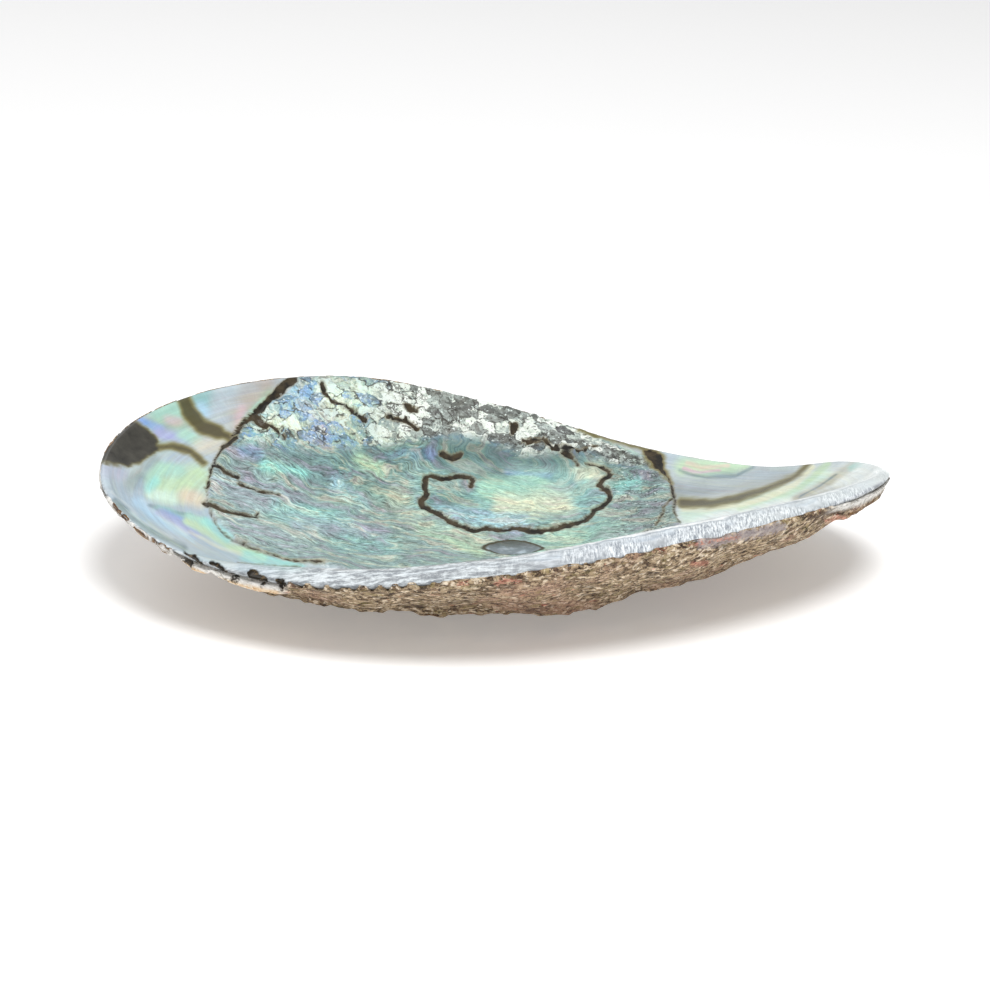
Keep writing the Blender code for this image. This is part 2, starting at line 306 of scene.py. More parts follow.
LILAC = [(10, 7, [(702, 543), (745, 535), (782, 527)])]
DARK_STAIN = [(6, 4, [(812, 517), (824, 514), (838, 512)]), (5, 3, [(506, 577), (524, 577)])]
LOBES = [(108, 129, 0.5), (131, 158, 0.6), (157, 174, 0.6), (181, 212, 0.9), (211, 292, 0.8), (838, 906, 0.9)]
BLACK_PATCH = [
    (128, 418), (137, 422), (147, 428), (157, 437), (159, 450), (150, 456), (141, 463), (128, 467),
    (100, 462),
    (92, 440),
]


# Colours of the pearl
PALETTE = {
    "silver": (0.72, 0.76, 0.78),
    "grey": (0.58, 0.60, 0.60),
    "slate": (0.36, 0.44, 0.47),
    "steel": (0.56, 0.61, 0.61),
    "blue_grey": (0.66, 0.73, 0.79),
    "mint": (0.66, 0.84, 0.75),
    "pale_mint": (0.84, 0.94, 0.86),
    "sage": (0.58, 0.68, 0.56),
    "lime": (0.77, 0.88, 0.70),
    "green": (0.60, 0.80, 0.58),
    "aqua": (0.55, 0.74, 0.73),
    "turquoise": (0.58, 0.88, 0.84),
    "teal": (0.28, 0.37, 0.37),
    "blue": (0.46, 0.62, 0.88),
    "pale_blue": (0.70, 0.84, 0.94),
    "violet": (0.64, 0.65, 0.84),
    "lilac": (0.71, 0.70, 0.79),
    "pink": (0.85, 0.71, 0.73),
    "rose": (0.72, 0.66, 0.62),
    "peach": (0.89, 0.83, 0.71),
    "cream": (0.93, 0.93, 0.80),
    "white": (0.95, 0.97, 0.95),
    "beige": (0.74, 0.72, 0.64),
}

# Soft strokes of colour on the pearl: colour, reach in pixels, strength, and the line it follows
SMOOTH_STROKES = [
    ("blue_grey", 75, 1.0, [(110, 470), (150, 520), (230, 560)]),
    ("silver", 70, 1.0, [(690, 480), (860, 480)]),
    ("sage", 26, 0.9, [(165, 425), (190, 405)]),
    ("mint", 13, 0.9, [(160, 412), (178, 406)]),
    ("blue", 5, 0.8, [(138, 420), (152, 426), (160, 430)]),
    ("pink", 6, 0.6, [(168, 420), (178, 421)]),
    ("violet", 8, 0.9, [(158, 433), (184, 437)]),
    ("mint", 9, 0.7, [(184, 434), (196, 440)]),
    ("peach", 10, 0.6, [(200, 446), (222, 444)]),
    ("aqua", 12, 0.9, [(203, 392), (200, 412)]),
    ("pale_blue", 8, 0.7, [(202, 408), (212, 420)]),
    ("silver", 14, 0.9, [(230, 388), (218, 424)]),
    ("rose", 20, 0.9, [(262, 385), (244, 420)]),
    ("sage", 9, 0.7, [(270, 396), (250, 420)]),
    ("pink", 6, 0.6, [(243, 410), (238, 426)]),
    ("mint", 5, 0.9, [(264, 402), (240, 430)]),
    ("silver", 20, 0.8, [(112, 476), (135, 474)]),
    ("lilac", 8, 0.5, [(106, 470), (120, 474)]),
    ("slate", 9, 0.5, [(132, 482), (148, 474), (152, 462)]),
    ("lime", 19, 1.0, [(168, 488), (196, 480)]),
    ("mint", 9, 0.9, [(152, 480), (160, 470), (180, 472)]),
    ("pale_mint", 8, 0.9, [(150, 494), (172, 498)]),
    ("turquoise", 6, 0.7, [(148, 488), (156, 482)]),
    ("peach", 10, 0.9, [(186, 496), (198, 500)]),
    # Painted highlight: a white streak standing for the smooth pearl's shine
    ("white", 4.5, 0.6, [(142, 502), (156, 512), (186, 534)]),
    ("pale_blue", 7, 0.7, [(138, 502), (160, 522), (190, 544)]),
    ("slate", 2.2, 0.9, [(150, 505), (166, 512), (192, 514)]),
    ("aqua", 4, 0.8, [(158, 508), (180, 514), (204, 520)]),
    ("blue", 4, 0.6, [(164, 512), (182, 520), (196, 530)]),
    ("violet", 5, 0.9, [(160, 512), (178, 522), (196, 534)]),
    ("mint", 6, 0.9, [(190, 516), (208, 526)]),
    ("lime", 5, 1.0, [(188, 522), (210, 532), (230, 546), (262, 558)]),
    ("turquoise", 6, 0.9, [(206, 522), (228, 538)]),
    ("cream", 2.4, 0.5, [(190, 532), (222, 548), (262, 561)]),
    ("turquoise", 7, 0.7, [(246, 556), (275, 563), (300, 566)]),
    ("silver", 7, 0.9, [(150, 526), (190, 548), (230, 562)]),
    ("slate", 4, 0.8, [(114, 502), (142, 526), (184, 548)]),
    # Painted highlight: a faint white streak standing for the smooth pearl's shine
    ("white", 2, 0.3, [(112, 492), (140, 520), (172, 538)]),
    ("lime", 11, 1.0, [(684, 466), (742, 469)]),
    ("peach", 2.4, 1.0, [(686, 463), (702, 467), (728, 466)]),
    ("pink", 2.0, 1.0, [(684, 468), (700, 472), (720, 471)]),
    ("green", 3, 0.9, [(696, 476), (735, 474)]),
    ("grey", 13, 0.9, [(672, 492), (700, 490), (780, 474)]),
    ("silver", 9, 0.8, [(690, 480), (730, 482), (800, 463)]),
    ("slate", 2, 0.6, [(680, 470), (706, 478), (735, 476), (752, 467)]),
    ("white", 26, 1.0, [(700, 526), (790, 504), (845, 482), (885, 470)]),
    ("pale_mint", 8, 0.9, [(686, 514), (790, 492), (826, 474)]),
    ("lime", 3.4, 0.7, [(740, 508), (800, 488), (828, 464)]),
    ("cream", 3.4, 1.0, [(684, 509), (712, 509), (740, 505), (768, 497), (795, 485), (812, 468)]),
    ("beige", 6, 0.9, [(797, 499), (830, 481), (854, 463)]),
    ("slate", 1.4, 0.7, [(800, 497), (820, 485), (836, 474)]),
    ("turquoise", 4, 0.5, [(850, 468), (862, 462)]),
    ("white", 16, 1.0, [(868, 470), (886, 478)]),
]
SCAR_STROKES = [
    ("steel", 1000, 1.0, [(400, 480), (401, 480)]),
    ("pale_blue", 20, 0.8, [(270, 420), (300, 400)]),
    ("blue_grey", 17, 0.9, [(284, 408), (330, 440)]),
    ("aqua", 12, 0.9, [(258, 440), (275, 436)]),
    ("cream", 13, 0.9, [(272, 428), (302, 436)]),
    ("silver", 11, 0.9, [(300, 447), (350, 452)]),
    ("pink", 8, 0.7, [(312, 434), (326, 438)]),
    ("pink", 6, 0.7, [(330, 450), (346, 454)]),
    ("pale_mint", 19, 0.9, [(330, 398), (395, 402)]),
    ("aqua", 9, 0.6, [(330, 385), (345, 388)]),
    ("grey", 26, 0.9, [(390, 412), (470, 430), (560, 445), (600, 450)]),
    ("slate", 17, 0.8, [(375, 440), (440, 446), (540, 447)]),
    ("white", 12, 0.7, [(430, 403), (468, 412)]),
    ("white", 14, 0.8, [(478, 408), (495, 432)]),
    ("lilac", 8, 0.6, [(540, 425), (565, 432)]),
    ("teal", 16, 0.9, [(330, 472), (380, 452), (450, 462), (520, 455), (600, 470)]),
    ("blue", 9, 0.5, [(390, 462), (430, 458)]),
    ("slate", 15, 0.8, [(290, 450), (345, 460), (400, 470)]),
    ("slate", 13, 0.6, [(310, 478), (380, 492)]),
    ("lime", 9, 0.8, [(360, 462), (378, 472)]),
    ("sage", 12, 0.6, [(340, 440), (420, 440)]),
    ("turquoise", 8, 1.0, [(266, 470), (302, 474)]),
    ("blue", 7, 0.5, [(244, 454), (260, 458)]),
    ("lilac", 16, 0.6, [(216, 484), (262, 500), (292, 506)]),
    ("silver", 9, 0.6, [(214, 478), (240, 498), (300, 520)]),
    ("silver", 20, 0.7, [(232, 524), (300, 540)]),
    ("turquoise", 12, 0.5, [(276, 512), (345, 524)]),
    ("pale_blue", 9, 0.7, [(338, 488), (364, 506)]),
    ("lilac", 9, 0.5, [(300, 528), (380, 534)]),
    ("sage", 14, 0.5, [(345, 500), (400, 505)]),
    ("aqua", 9, 0.6, [(340, 545), (400, 552)]),
    ("beige", 14, 0.8, [(398, 500), (420, 524), (480, 544)]),
    ("lime", 6, 0.6, [(420, 534), (480, 552)]),
    ("mint", 10, 0.8, [(540, 548), (620, 532)]),
    ("aqua", 34, 0.9, [(440, 502), (590, 500)]),
    ("teal", 14, 0.6, [(440, 505), (500, 478)]),
    ("mint", 15, 0.9, [(486, 496), (536, 486)]),
    ("cream", 15, 0.8, [(505, 512), (565, 506)]),
    ("pale_blue", 9, 0.7, [(440, 516), (520, 528)]),
    ("cream", 10, 0.8, [(580, 478), (602, 476)]),
    ("grey", 8, 0.7, [(436, 488), (466, 490)]),
    ("blue", 5, 0.4, [(512, 474), (552, 484)]),
    ("steel", 30, 0.8, [(622, 480), (655, 500)]),
    ("teal", 14, 0.7, [(618, 468), (650, 488)]),
    ("turquoise", 6, 0.7, [(614, 492), (636, 486)]),
    ("pale_mint", 9, 0.9, [(624, 452), (636, 460)]),
    ("steel", 20, 0.8, [(625, 516), (662, 506)]),
]


def ramp(value, start, end):
    """0 before start, 1 after end, and smooth between."""
    share = np.clip((value - start) / (end - start), 0, 1)
    return share * share * (3 - 2 * share)


def round_curve(values, angle):
    """A smooth closed curve through values, which stand at equal steps of the angle."""
    place = (angle % TURN) / TURN * len(values)
    index = np.floor(place).astype(int)
    share = place - index
    before, here, after, beyond = (values[(index + step) % len(values)] for step in (-1, 0, 1, 2))
    bend = 2 * before - 5 * here + 4 * after - beyond + share * (3 * (here - after) + beyond - before)
    return here + 0.5 * share * (after - before + share * bend)


def signed(angle):
    """The angle between half a turn back and half a turn on."""
    return (angle + math.pi) % TURN - math.pi


def noise_at(points, size, seed=0):
    """Smooth noise between about -1 and 1, with lumps of a size."""
    offset = Vector((seed, 0, 0))
    return np.array([noise.noise(Vector(point) / size + offset) for point in points])


def outer_edge(angle):
    """The rim's outer edge as (x, y, z)."""
    taper = 1 - LIP_TAPER * np.maximum(0, np.cos(angle)) ** LIP_TAPER_POWER
    return np.stack(
        [
            LENGTH / 2 * np.cos(angle),
            WIDTH / 2 * np.sin(angle) * taper,
            round_curve(RIM_HEIGHTS, angle),
        ],
        axis=-1,
    )


def shelf_share(angle):
    """1 where the rim is the full shelf, 0 where it is a thin lip."""
    angle = signed(angle)
    return ramp(angle, *SHELF_STARTS) * (1 - ramp(angle, *SHELF_ENDS))


def inner_edge(angle):
    """The rim's inner edge as (x, y, z)."""
    edge = outer_edge(angle)
    shelf = shelf_share(angle)
    along = (outer_edge(angle + SMALL_ANGLE) - outer_edge(angle - SMALL_ANGLE))[..., :2]
    along /= np.linalg.norm(along, axis=-1, keepdims=True)
    inward = np.stack([-along[..., 1], along[..., 0]], axis=-1)
    width = LIP_WIDTH + (SHELF_WIDTH - LIP_WIDTH) * shelf
    plan = edge[..., :2] + inward * width[..., None]
    return np.concatenate([plan, (edge[..., 2] + SHELF_RISE * shelf)[..., None]], axis=-1)


def wall(edge, share, floor):
    """A point of a wall that runs from the lowest point, at share 0, to the rim, at share 1."""
    plan = LOWEST + (edge[..., :2] - LOWEST) * share[..., None]
    bowl = 1 - np.sqrt(np.maximum(0, 1 - share**2))
    rise = (1 - WALL_ROUNDNESS) * share**2 + WALL_ROUNDNESS * bowl
    height = floor + (edge[..., 2] - floor) * rise
    return np.concatenate([plan, height[..., None]], axis=-1)


def inner_wall(angle, share):
    return wall(inner_edge(angle), share, FLOOR_THICKNESS)


def outer_wall(angle, share):
    return wall(outer_edge(angle), share, -WORN_DEPTH)


def outward(angle, share):
    """The outer wall's normal, pointing out of the shell."""
    nearer = np.clip(share - SMALL_SHARE, LEAST_SHARE, 1)
    further = nearer + SMALL_SHARE
    along = outer_wall(angle + SMALL_ANGLE, further) - outer_wall(angle - SMALL_ANGLE, further)
    up = outer_wall(angle, further) - outer_wall(angle, nearer)
    normal = np.cross(along, up)
    return normal / np.linalg.norm(normal, axis=-1, keepdims=True)


def rim_top(angle, share):
    """The rim's top, from its inner edge at share 0 to its outer edge at share 1."""
    inner, outer = inner_edge(angle), outer_edge(angle)
    points = inner + (outer - inner) * share[..., None]
    points[..., 2] += LIP_CROWN * np.sin(math.pi * share)
    return points


def pore_spiral_radius(bearing):
    return PORE_SPIRAL_RADIUS * np.exp(PORE_SPIRAL_GROWTH * (bearing - PORE_SPIRAL_ANGLE))


def spire(distance, bearing):
    """The spire's height at a distance and bearing from the apex."""
    cone = SPIRE_HEIGHT * np.exp(-((distance / SPIRE_RADIUS) ** 2))
    turns = bearing - np.log(distance / SPIRE_RADIUS + APEX_BLUNTNESS) / WHORL_GROWTH
    step = WHORL_STEP * (turns / TURN % 1 - 0.5)
    return cone + step * (1 - ramp(distance, *SPIRE_FADE))


def keel(distance, bearing):
    """The low ridge that carries the pores."""
    bearing = np.where(bearing > PORE_SPIRAL_START, bearing - TURN, bearing)
    off_ridge = (distance - pore_spiral_radius(bearing)) * math.cos(math.atan(PORE_SPIRAL_GROWTH))
    return KEEL_HEIGHT * np.exp(-((off_ridge / KEEL_WIDTH) ** 2))


def growth_waves(distance, bearing):
    lean = 1 + GROWTH_WAVE_LEAN * np.sin(bearing)
    return GROWTH_WAVE * np.sin(TURN * distance * lean / GROWTH_WAVE_LENGTH)


def broken_crust(angle, share):
    """How much crust is missing round the spire end."""
    from_spire_end = np.abs(signed(angle - math.pi))
    return BROKEN_DEPTH * (1 - ramp(from_spire_end, *BROKEN_SPREAD)) * ramp(share, *BROKEN_BAND)


def thick_crust(angle, share):
    """How much the crust stands out along the near side's right half, up to the rim."""
    angle = signed(angle)
    here = ramp(angle, *THICK_CRUST_STARTS) * (1 - ramp(angle, *THICK_CRUST_ENDS))
    return THICK_CRUST * here * ramp(share, *THICK_CRUST_BAND) * (1 - ramp(share, *THICK_CRUST_EDGE))


def relief(points, angle, share):
    """How far the outside stands out from the plain outer wall."""
    from_apex = points[..., :2] - APEX
    distance = np.linalg.norm(from_apex, axis=-1)
    bearing = np.arctan2(from_apex[..., 1], from_apex[..., 0])
    height = spire(distance, bearing) + keel(distance, bearing) + growth_waves(distance, bearing)
    height += LUMP_HEIGHT * noise_at(points, LUMP_SIZE) - broken_crust(angle, share)
    return height * (1 - ramp(share, *RELIEF_FADE)) + thick_crust(angle, share)


def camera_axes():
    """The camera's eye, and its right, up and forward directions."""
    angle = CAMERA_HEIGHT_ANGLE
    right = np.array([1.0, 0, 0])
    up = np.array([0, math.sin(angle), math.cos(angle)])
    forward = np.array([0, math.cos(angle), -math.sin(angle)])
    return CAMERA_TARGET - forward * CAMERA_DISTANCE, right, up, forward


def pixels_of(points):
    """Where the camera sees points, in pixels of the photo."""
    eye, right, up, forward = camera_axes()
    sight = points - eye
    depth = sight @ forward
    across, along = sight @ right / depth, sight @ up / depth
    return np.stack([across, -along], axis=-1) * FOCAL_PIXELS + FRAME_PIXELS / 2


def make_camera():
    data = bpy.data.cameras.new("camera")
    data.sensor_width = SENSOR
    data.lens = FOCAL_PIXELS * SENSOR / FRAME_PIXELS
    data.clip_start = 0.01
    made = bpy.data.objects.new("camera", data)
    made.location = camera_axes()[0]
    made.rotation_euler = (math.pi / 2 - CAMERA_HEIGHT_ANGLE, 0, 0)
    bpy.context.scene.collection.objects.link(made)
    bpy.context.scene.camera = made


def distance_to(points, route):
    """The shortest distance from each point to a line through places."""
    best = np.full(len(points), np.inf)
    route = np.array(route, float)
    for start, end in zip(route, route[1:]):
        along = end - start
        share = np.clip((points - start) @ along / (along @ along), 0, 1)
        best = np.minimum(best, np.linalg.norm(points - start - share[:, None] * along, axis=1))
    return best


def depth_inside(points, outline):
    """The distance to a closed outline, positive inside it and negative outside."""
    inside = np.zeros(len(points), bool)
    for start, end in zip(outline, outline[1:] + outline[:1]):
        crosses = (start[1] > points[:, 1]) != (end[1] > points[:, 1])
        rise = end[1] - start[1] or 1
        side = start[0] + (points[:, 1] - start[1]) * (end[0] - start[0]) / rise
        inside ^= crosses & (points[:, 0] < side)
    return distance_to(points, outline + outline[:1]) * np.where(inside, 1, -1)


def beyond_lines(points, lines):
    """The distance in pixels beyond the edge of the nearest line, negative within one.

    A line is its width at the start, its width at the end, and the places that it runs through.
    """
    best = np.full(len(points), np.inf)
    for first_width, last_width, route in lines:
        route = np.array(route, float)
        steps = np.linalg.norm(np.diff(route, axis=0), axis=1)
        gone = np.concatenate([[0], np.cumsum(steps)]) / steps.sum()
        for start, end, before, after in zip(route, route[1:], gone, gone[1:]):
            along = end - start
            share = np.clip((points - start) @ along / (along @ along), 0, 1)
            distance = np.linalg.norm(points - start - share[:, None] * along, axis=1)
            width = first_width + (last_width - first_width) * (before + (after - before) * share)
            best = np.minimum(best, distance - width / 2)
    return best


# The skins

def closed_grid(name, cells, rows):
    """A square grid of cells whose border is carried on by rows of faces and closed with one face."""
    grid = bmesh.new()
    bmesh.ops.create_grid(grid, x_segments=cells[0], y_segments=cells[1], size=1)
    row_of = grid.verts.layers.int.new("row")
    border = [edge for edge in grid.edges if edge.is_boundary]
    for row in range(1, rows + 1):
        made = bmesh.ops.extrude_edge_only(grid, edges=border)["geom"]
        for item in made:
            if isinstance(item, bmesh.types.BMVert):
                item[row_of] = row
        border = [item for item in made if isinstance(item, bmesh.types.BMEdge) and item.is_boundary]
    bmesh.ops.contextual_create(grid, geom=border)
    mesh = bpy.data.meshes.new(name)
    grid.to_mesh(mesh)
    grid.free()
    return mesh


def places(mesh):
    found = np.zeros(len(mesh.vertices) * 3, np.float32)
    mesh.vertices.foreach_get("co", found)
    return found.reshape(-1, 3).astype(float)


def set_places(mesh, points):
    inside_box = np.clip(points, LOW, HIGH)
    mesh.vertices.foreach_set("co", inside_box.astype(np.float32).ravel())
    mesh.update()


def set_field(mesh, name, values):
    """Keeps a value for each vertex, a number or three, that the material reads by name."""
    kind = "FLOAT" if values.ndim == 1 else "FLOAT_VECTOR"
    field = mesh.attributes.new(name, kind, "POINT")
    field.data.foreach_set("value" if values.ndim == 1 else "vector", values.astype(np.float32).ravel())


def disc_places(mesh):
    """For each vertex of the grid, its rim angle, its share of the way out, and its row."""
    square = places(mesh)
    across, along = square[:, 0], square[:, 1]
    radius = np.maximum(np.abs(across), np.abs(along))
    wide = np.abs(across) >= np.abs(along)
    safe_across = np.where(across == 0, 1, across)
    safe_along = np.where(along == 0, 1, along)
    side_on = math.pi / 4 * along / safe_across + np.where(across < 0, math.pi, 0)
    end_on = math.pi / 2 - math.pi / 4 * across / safe_along + np.where(along < 0, math.pi, 0)
    row = np.zeros(len(mesh.vertices), np.int32)
    mesh.attributes["row"].data.foreach_get("value", row)
    return np.where(wide, side_on, end_on), radius, row


def strip(angle, inward):
    """A place near the rim's outer edge: over its top where inward is positive, else down the outside."""
    width = np.linalg.norm(outer_edge(angle) - inner_edge(angle), axis=-1)
    rim_share = 1 - np.clip(inward, 0, None) / width
    down = np.linalg.norm(outer_wall(angle, np.full_like(angle, 1.0)) -
                          outer_wall(angle, np.full_like(angle, 0.97)), axis=-1) / 0.03
    wall_share = 1 + np.clip(inward, None, 0) / down
    on_top = (inward > 0)[:, None]
    return np.where(on_top, rim_top(angle, rim_share), outer_wall(angle, wall_share)), wall_share


def crust_edge(angle, seen):
    """How far the crust laps over the rim's outer edge, negative where it ends below the edge."""
    wander = noise_at(outer_edge(angle), 6 * MM, 3) + 0.7 * noise_at(outer_edge(angle), 1.6 * MM, 5)
    edge = 0.1 * MM + EDGE_WANDER * wander
    near = angle_is_near(angle)
    place = seen[:, 0]
    in_scallops = ramp(place, SCALLOP_SPAN[0], SCALLOP_SPAN[0] + 12) * (
        1 - ramp(place, SCALLOP_SPAN[1] - 30, SCALLOP_SPAN[1])
    )
    beat = np.abs(np.sin(math.pi * (place + SCALLOP_WANDER * wander) / SCALLOP_PIXELS))
    edge += near * in_scallops * SCALLOP * np.minimum(0.55 - beat, 0.15)
    in_ledges = ramp(place, LEDGE_SPAN[0], LEDGE_SPAN[0] + 25) * (
        1 - ramp(place, LEDGE_SPAN[1] - 12, LEDGE_SPAN[1])
    )
    edge -= near * in_ledges * LEDGE_DROP * (0.8 + 0.5 * wander)
    at_tip = np.maximum(near * ramp(place, *TIP_SPAN), ramp(place, *TIP_END))
    return edge - at_tip * TIP_DROP * (0.9 + 0.5 * wander)


def angle_is_near(angle):
    """1 on the near side of the shell, 0 on the far side."""
    return ramp(-np.sin(angle), *NEAR_FADE)


def flakes(points):
    """For each point, a value of the flake that it lies on, and how far it is up the flake's slope."""
    chance = np.random.default_rng(FLAKE_SEED)
    low, high = FLAKE_FIELD
    count = int(np.prod(high - low) / FLAKE_SIZE**2)
    seeds = low + (high - low) * chance.random((count, 2))
    tree = KDTree(count)
    for index, seed in enumerate(seeds):
        tree.insert((*seed, 0), index)
    tree.balance()
    value = chance.random(count)
    lean = chance.normal(size=(count, 2))
    nearest = np.array([tree.find((*point, 0))[1] for point in points])
    slope = np.einsum("ij,ij->i", points - seeds[nearest], lean[nearest])
    return value[nearest], slope


def share_at(place):
    """The rim angle and wall share of the outside's point over a place seen from above."""
    angle = math.atan2(place[1] - LOWEST[1], place[0] - LOWEST[0])
    for _ in range(PLACE_ROUNDS):
        edge = outer_edge(np.array(angle))[:2] - LOWEST
        miss = math.atan2(place[1] - LOWEST[1], place[0] - LOWEST[0]) - math.atan2(edge[1], edge[0])
        angle += signed(miss)
    return angle, np.linalg.norm(place - LOWEST) / np.linalg.norm(edge)


def pores():
    """(place, outward direction, radius, open) of each pore, from the growing lip to the spire."""
    bearing, step, radius = LAST_PORE_ANGLE, PORE_STEP, PORE_RADIUS
    found = []
    for count in range(OPEN_PORES + SEALED_PORES):
        away = np.array([math.cos(bearing), math.sin(bearing)]) * pore_spiral_radius(bearing)
        angle, share = map(np.atleast_1d, share_at(APEX + away))
        plain, direction = outer_wall(angle, share), outward(angle, share)
        place = plain + direction * relief(plain, angle, share)[:, None]
        found.append((place[0], direction[0], radius, count < OPEN_PORES))
        bearing -= step
        step *= PORE_STEP_GROWTH
        radius *= PORE_SHRINK
    return found


def pore_relief(points):
    """A raised collar round each pore, and a dimple in each sealed one."""
    height = np.zeros(len(points))
    for place, direction, radius, is_open in pores():
        from_place = points - place
        aside = from_place - (from_place @ direction)[:, None] * direction
        off = np.linalg.norm(aside, axis=1) / radius
        height += COLLAR_HEIGHT * np.exp(-(((off - COLLAR_PLACE) / COLLAR_SPREAD) ** 2))
        if not is_open:
            height -= DIMPLE_DEPTH * (1 - ramp(off, 0.5, 1.2))
    return height


def pore_bores():
    """One object with a cylinder for each open pore, which cuts both skins."""
    grid = bmesh.new()
    for place, direction, radius, is_open in pores():
        if is_open:
            turn = Vector((0, 0, 1)).rotation_difference(Vector(direction))
            made = bmesh.ops.create_cone(
                grid, cap_ends=True, segments=PORE_SIDES, radius1=radius, radius2=radius, depth=2 * BORE_REACH
            )
            for vertex in made["verts"]:
                vertex.co = Vector(place) + turn @ vertex.co
    mesh = bpy.data.meshes.new("pore_bores")
    grid.to_mesh(mesh)
    grid.free()
    made = bpy.data.objects.new("pore_bores", mesh)
    bpy.context.scene.collection.objects.link(made)
    return made


def tints(seen, points, in_scar):
    """The pearl's broad colours: the soft strokes laid over one another, in light amounts."""
    wobble = np.stack([noise_at(points, 7 * MM, 71), noise_at(points, 7 * MM, 83)], axis=-1)
    small = np.stack([noise_at(points, 2.5 * MM, 91), noise_at(points, 2.5 * MM, 97)], axis=-1)
    on_scar = ramp(in_scar, -1, 2)
    wavy = seen + wobble * (7, 5) * (0.35 + 0.65 * on_scar)[:, None]
    wavy += small * (4, 2.5) * (0.15 + 0.85 * on_scar)[:, None]
    colour = np.tile(linear(PALETTE["silver"]), (len(points), 1))
    uneven = [1 + 0.45 * noise_at(points, size * MM, 113 + size) for size in (3, 5, 8)]
    for zone, strokes in ((1 - on_scar, SMOOTH_STROKES), (on_scar, SCAR_STROKES)):
        for index, (name, reach, strength, route) in enumerate(strokes):
            off = distance_to(wavy, route) / reach
            share = zone * strength * (1 - ramp(off, 0.2, 1.35)) * uneven[index % len(uneven)]
            share = np.clip(share, 0, 1)[:, None]
            colour = colour + (np.array(linear(PALETTE[name])) - colour) * share
    return colour


def hidden_tints(points):
    """Calm colours for the near half of the inside, which the photo doesn't show."""
    colour = np.tile(linear(PALETTE["silver"]), (len(points), 1))
    for name, seed in HIDDEN_COLOURS:
        share = HIDDEN_STRENGTH * ramp(noise_at(points, HIDDEN_PATCH, seed), 0, 0.4)
        colour = colour + (np.array(linear(PALETTE[name])) - colour) * share[:, None]
    return colour


def swirl_share(points):
    """1 at the swirl's centre, 0 well away from it."""
    return 1 - ramp(np.linalg.norm(points[:, :2] - SWIRL, axis=1), 10 * MM, 26 * MM)


def flow_of(points):
    """Coordinates across and along the growth lines, which run in long ovals round the swirl."""
    aside, away = (points[:, :2] - SWIRL).T
    stretch = SWIRL_STRETCH[0] + (SWIRL_STRETCH[1] - SWIRL_STRETCH[0]) * ramp(np.abs(aside), *SWIRL_REACH)
    across = np.hypot(aside / stretch, away + FLOW_LEAN * aside)
    across = across + 2.2 * MM * noise_at(points, 10 * MM, 101) + 1.3 * MM * noise_at(points, 3.2 * MM, 103)
    across = across + 0.35 * MM * noise_at(points, 1.3 * MM, 109)
    along = points[:, 0] + 2 * MM * noise_at(points, 9 * MM, 107)
    return np.stack([across / FLOW_ACROSS, along / FLOW_ALONG, np.zeros(len(points))], axis=-1)


def growth_of(angle, share):
    """Coordinates across and along the smooth pearl's growth lines, which run beside the lip."""
    return np.stack([share * GROWTH_LINES, angle * GROWTH_STREAKS, np.zeros(len(angle))], axis=-1)


